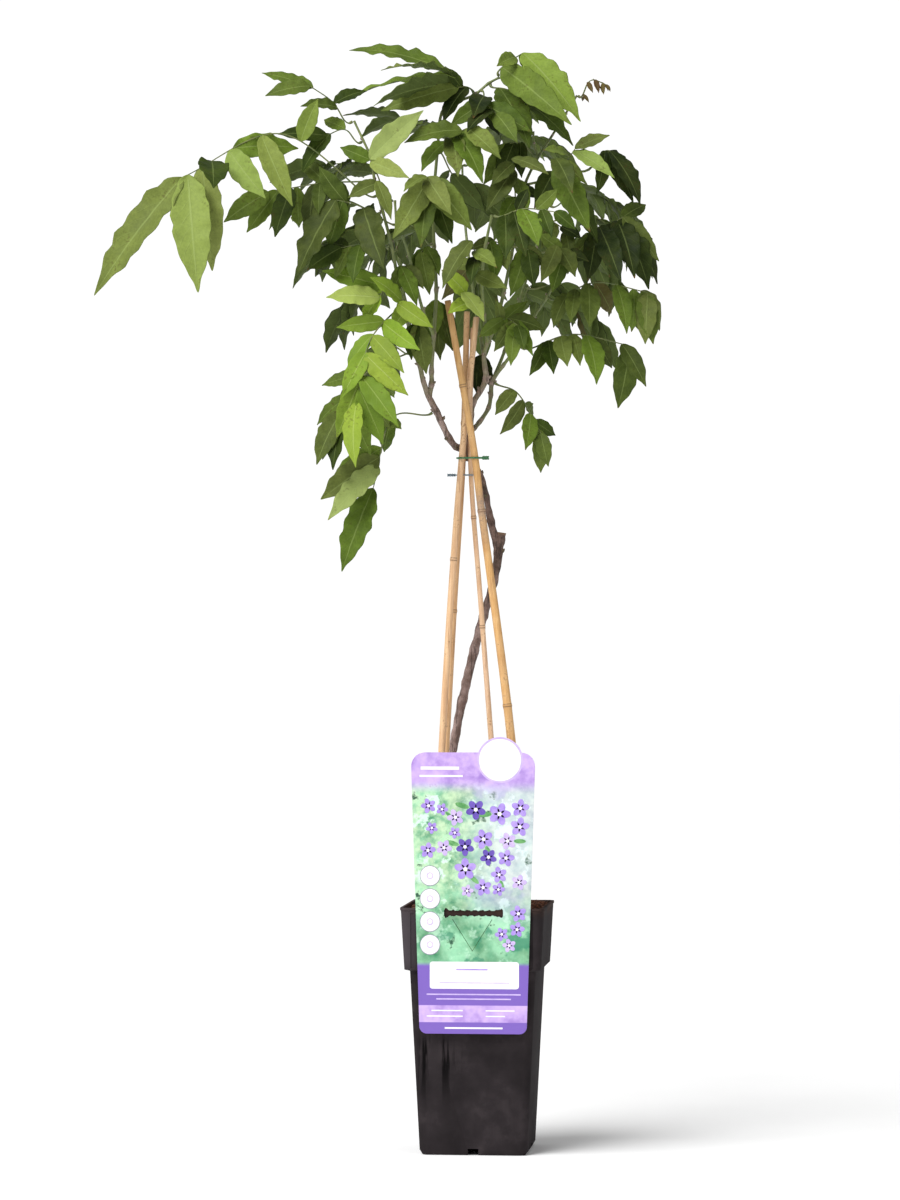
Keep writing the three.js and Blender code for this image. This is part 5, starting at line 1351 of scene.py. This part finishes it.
# %% The fronds inside and behind
INNER_FRONDS = [
    ("back_1", "back_shoot", 4, (-32, -125, 868), (-67, -115, 877), 4, 48, 0.35),
    ("back_2", "back_shoot", 4, (11, -140, 871), (48, -150, 861), 4, 48, 0.45),
    ("back_3", "back_shoot", 3, (-41, -155, 805), (-69, -170, 780), 4, 46, 0.8),
    ("back_4", "back_shoot", 3, (20, -150, 814), (46, -170, 789), 4, 46, 0.8),
    ("back_5", "back_shoot", 2, (-2, -140, 756), (3, -165, 714), 4, 46, 0.9),
    ("back_6", "back_left_shoot", 4, (-92, -110, 836), (-131, -105, 836), 4, 48, 0.5),
    ("back_7", "back_left_shoot", 3, (-99, -110, 784), (-129, -118, 768), 4, 46, 0.8),
    ("back_8", "back_left_shoot", 2.2, (-88, -100, 740), (-110, -105, 715), 4, 44, 0.8),
    ("back_9", "back_left_shoot", 1, (-80, -75, 679), (-109, -85, 644), 4, 44, 0.8),
    ("back_10", "back_right_shoot", 4, (89, -115, 819), (116, -112, 804), 4, 46, 0.6),
    ("back_11", "back_right_shoot", 3, (85, -120, 772), (117, -130, 738), 4, 46, 0.8),
    ("back_12", "back_right_shoot", 2.3, (76, -105, 732), (101, -110, 701), 4, 44, 0.85),
    ("back_13", "back_right_shoot", 1.8, (47, -100, 732), (63, -112, 715), 4, 42, 0.8),
    ("side_left", "back_left_shoot", 3.5, (-113, -60, 802), (-153, -50, 802), 4, 46, 0.55),
    ("side_right", "back_right_shoot", 3.6, (96, -60, 789), (123, -50, 770), 4, 44, 0.8),
    ("inner_top", "top_shoot", 7, (-19, -20, 817), (5, -42, 809), 4, 44, 0.75),
    ("inner_left", "top_shoot", 5, (-57, -20, 777), (-81, -35, 761), 4, 42, 0.7),
]

# %% Small leaves that fill the crown
# They are too many and too small for the measured model, so they stand in for nothing there.
SMALL_FRONDS = [
    ("small_1", "left_front_shoot", 1.7, (-60, 50, 738), (-64, 56, 736), (0, 1, 0.35), [
        (1, -50, 66, 704), (0.8, -72, 62, 712), (0.6, -45, 58, 718),
    ]),
    ("small_2", "top_shoot", 5, (-43, 26, 756), (-48, 34, 750), (0, 1, 0.35), [
        (1, -40, 44, 714), (0.8, -56, 40, 728), (0.6, -32, 40, 730),
    ]),
    ("small_3", "top_shoot", 4, (-35, -6, 716), (-33, -15, 708), (0, 1, 0.3), [
        (1, -32, -18, 662), (0.8, -21, -16, 670), (0.7, -44, -12, 676),
    ]),
    ("small_4", "left_branch", 9, (-54, 34, 692), (-51, 40, 690), (0, 1, 0.3), [
        (1, -43, 46, 648), (0.8, -56, 46, 660), (0.6, -38, 40, 676),
    ]),
    ("small_5", "right_branch", 11, (18, 30, 758), (9, 40, 760), (0, 1, 0.4), [
        (1, 14, 54, 724), (0.8, -7, 52, 752), (0.6, 24, 48, 734),
    ]),
    ("small_6", "right_branch", 11.2, (36, 24, 757), (42, 34, 752), (0.1, 1, 0.4), [
        (1, 46, 50, 720), (0.8, 26, 46, 712), (0.6, 58, 42, 736),
    ]),
    ("small_7", "right_branch", 14, (36, 20, 843), (24, 26, 841), (0, 1, 0.4), [
        (1, 4, 36, 806), (0.8, 16, 40, 806), (0.6, 36, 32, 812),
    ]),
    ("small_8", "third_branch", 10.5, (72, 34, 768), (64, 42, 774), (0.2, 1, 0.4), [
        (1, 52, 54, 752), (0.8, 86, 50, 760), (0.6, 76, 44, 746),
    ]),
    ("small_9", "top_shoot", 10, (-9, 14, 890), (-17, 20, 889), (0, 1, 0.5), [
        (1, -82, 30, 869), (0.8, -27, 24, 906), (0.5, -30, 32, 858),
    ]),
    ("small_10", "left_branch", 12.5, (-82, 63, 803), (-84, 68, 807), (0, 1, 0.4), [
        (1, -71, 78, 774), (0.8, -108, 72, 793),
    ]),
    ("small_11", "right_branch", 7, (3, -13, 668), (1, -18, 667), (0, 1, 0.2), [
        (1, -1, -20, 634), (0.8, 11, -20, 640),
    ]),
]
ADDED_LEAFLETS = {
    "behind_left": [(0.97, -135, 40, 573), (0.9, -121, 42, 568)],
    "right_a": [(0.75, 142, 46, 718)],
    "right_b": [(0.95, 145, 52, 672), (0.3, 76, 50, 690)],
    "right_c": [(0.25, 43, 20, 648), (0.4, 74, 38, 656)],
    "right_dark": [(0.7, 129, 42, 790)],
    "left_c": [(0.55, -140, 66, 758)],
    "centre_low": [(0.65, 46, 48, 664)],
}
print(len(FRONDS), "listed fronds,", len(INNER_FRONDS), "by rule and", len(SMALL_FRONDS), "small ones")

# %% Stalks and the places of their leaflets
SHOOT_GAP, STALK_RINGS = 0.35, 4
SIZES, SWINGS = (1, 0.86, 0.72), (0, 7, -7, 14, -14, 21, -21, 29, -29)


def stalk_path(shoot, at, through, tip):
    path, bends = shoot_paths[shoot], SHOOTS[shoot]
    share = min(at / (len(bends) - 1), 1)
    centre, ahead = path.place(share), path.heading_at(share)
    low = min(int(at), len(bends) - 2)
    radius = bends[low][3] + (bends[low + 1][3] - bends[low][3]) * min(at - low, 1)
    towards = plant(through) - centre
    out = (towards - ahead * towards.dot(ahead)).normalized()
    foot = centre + out * (radius + SHOOT_GAP)
    rise = foot + out * min(5, towards.length / 4)
    return Path([foot, rise, plant(through), plant(tip)])


def root_on(path, share):
    """Where the measured stalk, straight between its five rings, carries a leaflet."""
    ring = min(share, 1 - 1.2 / path.length) * STALK_RINGS
    low = min(int(ring), STALK_RINGS - 1)
    start, end = (path.at(path.length * step / STALK_RINGS) for step in (low, low + 1))
    return start.lerp(end, ring - low)


def listed_leaflets(path, face, leaflets, seed):
    for number, (share, across, front, up, *turn) in enumerate(leaflets):
        towards = plant((across, front, up)) - root_on(path, share)
        yield share, towards, plant(face), turn[0] if turn else 0.0, seed + number


def ruled_leaflets(path, through, pairs, length, hang, seed):
    outward = plant(through)
    outward.z = 0
    face = outward.normalized() * hang + Vector((0, 0, 1.15 - hang))
    for pair in range(pairs):
        for side in (1, -1):
            share = 0.42 + 0.5 * (pair + side * 0.2) / (pairs - 1)
            ahead = path.heading(path.length * share)
            sideways = ahead.cross(Vector((0, 0, 1))).normalized()
            number = seed + 2 * pair + (side + 1) // 2
            towards = sideways * side * (1 - 0.35 * hang) + ahead * 0.55 - Vector((0, 0, hang))
            reach = length * (0.85 + 0.3 * chance(number + 0.25))
            yield share, towards.normalized() * reach, face, 0.0, number
    last = path.heading(path.length) - Vector((0, 0, 0.6 * hang))
    yield 1, last.normalized() * length * 1.1, face, 0.0, seed + 2 * pairs


def measured_points(node):
    points = [TO_PLANT.inverted() @ vertex.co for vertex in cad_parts[node].data.vertices]
    tree = KDTree(len(points))
    for number, point in enumerate(points):
        tree.insert(point, number)
    tree.balance()
    return tree


def grown_tip(points, root, towards):
    for size in SIZES:
        for swing in SWINGS:
            tip = root + towards * size - Vector((0, swing, 0))
            if points.find(tip)[2] < 0.2:
                return tip
    return None


print("Stalk rules are ready")

# %% [markdown]
# ## Grow the crown
# Light decides the greens. Fronds outside on the left and in front are lit and pale, those at the back
# and inside are dark, and the youngest at the ends of the shoots are yellow-green or still bronze. So
# each frond has a tone of its own, and each leaflet strays a little from it.

# %% The greens of fronds and of single leaflets
# Tones paint light and shade: lit fronds are pale, and the fronds inside and behind are dark, in painted
# shade.
INNER_TONE = 0.12
TONES = {
    name: tone
    for tone, names in (
        (0.02, "right_dark"), (0.04, "right_shade"), (0.05, "right_a"), (0.15, "small_8"),
        (0.2, "right_low"), (0.25, "small_2 small_7"), (0.28, "centre_right"),
        (0.3, "left_tip young_tip low_right left_d front_right centre_top small_1 small_3 small_4 small_5"),
        (0.3, "small_6 small_10"), (0.35, "left_twig left_c front_low centre_low centre_left"),
        (0.36, "behind_left"), (0.4, "top_right top_crown"), (0.42, "right_c left_b"),
        (0.45, "right_small bright_front"), (0.46, "right_b"), (0.48, "long_left"),
        (0.5, "left_yellow left_light front_left"), (0.55, "top_left"), (0.58, "low_left"),
        (0.95, "front_bright"),
    )
    for name in names.split()
}
SLIM = {"top_left": {0: 0.68, 1: 0.85, 2: 0.7}, "long_left": {3: 1.4, 6: 0.85}}
YOUNG = ("bright_front", "left_light", "front_left", "front_bright")
SHADES = {  # painted light and shade of single leaflets that are much paler or darker than their frond
    "long_left": {1: 1.15, 2: 1.1, 3: 0.1, 4: 1.2, 6: 0.85}, "left_yellow": {0: 1.3, 1: 1.1, 2: 0.4},
    "left_light": {0: 1.25}, "low_left": {3: 1.3}, "right_small": {1: 1.2}, "top_crown": {0: 1.05},
    "left_tip": {0: 0.35}, "top_left": {1: 0.7, 2: 0.8, 3: 0.75}, "front_bright": {0: 1.25},
    "bright_front": {0: 0.2, 2: 0.25, 6: 0.35, 7: 0.1, 9: 0.1}, "left_c": {-1: 0.15},
    "small_9": {0: 0.45}, "small_7": {0: 0.5}, "left_b": {0: 0.15}, "front_right": {0: 0.08, 1: 0.05},
}
print(len(TONES), "fronds have a tone of their own")

# %% Every frond as a piece
STALK_FOOT = ((0.0, 1.3), (0.8, 1.5), (2.4, 1.35), (4.0, 0.9))  # distance, radius
FOOT_LENGTH, STALK_SIDES, TONE_SPREAD, SEED_STEP = 4.0, 7, 0.6, 40
BRONZE_TIP, BRONZE_LEAF, BRONZE_ODDS, TIP_SLIM = 0.75, 0.5, 0.994, 0.5


def grow_stalk(bm, path):
    swollen = [(0, 1.5), (4.5, 0.85), (path.length * 0.5, 0.65), (path.length, 0.5)]
    count = max(int(path.length / 5), 6)
    places = [FOOT_LENGTH + (path.length - FOOT_LENGTH) * number / count for number in range(1, count + 1)]
    sweep(bm, path, [*STALK_FOOT, *((at, radii_between(swollen, at)) for at in places)], STALK_SIDES)
    for face in bm.faces:
        face.material_index = 1


def grow_frond(name, path, leaflets, added):
    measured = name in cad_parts
    points = measured_points(name) if measured else None
    bm = bmesh.new()
    bm.loops.layers.uv.new("leaflet")
    for title in ("under", "tone", "bronze"):
        bm.faces.layers.float.new(title)
    grow_stalk(bm, path)
    found = []
    for index, (share, towards, *rest) in enumerate(leaflets):
        root = root_on(path, share)
        tip = grown_tip(points, root, towards) if measured else root + towards
        if tip:
            found.append((index, share, tip, *rest))
    found += [(-1, share, root_on(path, share) + towards, *rest) for share, towards, *rest in added]
    for index, share, tip, face, turn, number in found:
        foot = path.at(path.length * min(share, 1 - 0.6 / path.length))
        tone = clamp(TONES.get(name, INNER_TONE) + TONE_SPREAD * (chance(number + 0.33) - 0.5))
        tone = SHADES.get(name, {}).get(index, tone)
        bronze = BRONZE_LEAF if chance(number + 0.61) > BRONZE_ODDS else 0.0
        slim = SLIM.get(name, {}).get(index, 1.0)
        if name == "young_tip":
            bronze, slim = BRONZE_TIP, TIP_SLIM
        lay_leaflet(bm, foot, tip, face, turn, number, tone, bronze, slim)
    materials = [leaf_young if name in YOUNG else leaf_green, stalk_green]
    made = make_piece(f"frond_{name}", bm, materials, [name] if measured else [], TO_PLANT, sharp=0)
    smooth = made.modifiers.new("smooth", "SUBSURF")
    smooth.levels = smooth.render_levels = 1
    return len(found)


ruled, leaflet_count = {row[0] for row in INNER_FRONDS}, 0
for order, (name, shoot, at, through, tip, *rule) in enumerate([*FRONDS, *INNER_FRONDS, *SMALL_FRONDS], 1):
    seed, path, added = order * SEED_STEP, stalk_path(shoot, at, through, tip), ()
    if name in ruled:
        leaflets = ruled_leaflets(path, through, *rule, seed)
    else:
        face, listed = rule
        leaflets = listed_leaflets(path, face, listed, seed)
        added = listed_leaflets(path, face, ADDED_LEAFLETS.get(name, ()), seed + SEED_STEP // 2)
    leaflet_count += grow_frond(name, path, leaflets, added)
print("The crown has", leaflet_count, "leaflets")

# %% [markdown]
# ## Floor, light and camera
# The plant stands on a plain pale floor in soft studio light: a white surround, a broad key light from
# the upper left in front, a weaker one from the right, and a wide soft sun from above. The camera stands
# four metres off, level with the middle of the plant, with a long lens, so the view hardly narrows with
# distance.

# %% The studio
FLOOR_HALF, KEY_WATTS, FILL_WATTS, SKY_STRENGTH, SKY_ANGLE = 20.0, 26, 10, 3.0, 45
floor_bm = bmesh.new()
bmesh.ops.create_grid(floor_bm, x_segments=1, y_segments=1, size=FLOOR_HALF)
floor = as_object("studio_floor", as_mesh("studio_floor", floor_bm))
floor.data.materials.append(plain_finish("pale floor", 4.0, (0.93, 0.93, 0.93), (0.95, 0.95, 0.95), 0.9))
floor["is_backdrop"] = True

surround = bpy.data.worlds.new("white surround")
bpy.context.scene.world = surround
surround.use_nodes = True
tree = surround.node_tree
seen = add(tree, "LightPath").outputs["Is Camera Ray"]
strength = between(tree, seen, 0.0, 1.0, 0.42, 1.05)
plug(tree, tree.nodes["Background"], {"Color": (1, 1, 1, 1), "Strength": strength})


def aim(made, direction):
    made.rotation_euler = direction.to_track_quat("-Z", "Y").to_euler()


def softbox(name, place, target, width, watts):
    lamp = bpy.data.lights.new(name, "AREA")
    lamp.size, lamp.energy = width, watts
    made = as_object(name, lamp)
    made.location = place
    aim(made, Vector(target) - Vector(place))


softbox("key light", (-1.4, -2.6, 2.2), (0, 0, 0.6), 1.2, KEY_WATTS)
softbox("fill light", (2.4, -2.2, 1.2), (0, 0, 0.5), 1.6, FILL_WATTS)
sky = bpy.data.lights.new("sky light", "SUN")
sky.energy, sky.angle = SKY_STRENGTH, math.radians(SKY_ANGLE)
aim(as_object("sky light", sky), Vector((0.5, 0.6, -0.85)))

# %% The camera
SENSOR, DISTANCE, VIEW_WIDTH = 36, 4000, 1007
ASIDE, EYE_HEIGHT = -0.0235, 0.461
lens = bpy.data.cameras.new("camera")
lens.lens = SENSOR * DISTANCE / VIEW_WIDTH
lens.sensor_width = SENSOR
camera = as_object("camera", lens)
right = ray(ASKEW)
back = Vector((right.y, -right.x, 0))
camera.location = right * ASIDE + back * (DISTANCE * MM) + Vector((0, 0, EYE_HEIGHT))
camera.rotation_euler = (math.radians(90), 0, ASKEW)
bpy.context.scene.camera = camera
bpy.context.scene.view_settings.view_transform = "Standard"
print("Camera at", [round(value, 3) for value in camera.location])

# %% [markdown]
# ## Measure the pieces
# The finished pieces must fit the measured model's box, so the box of the pieces is measured and printed.

# %% The size of the pieces
boxes["visual"] = [list(corner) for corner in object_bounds()]
print("Box of the pieces", boxes["visual"])
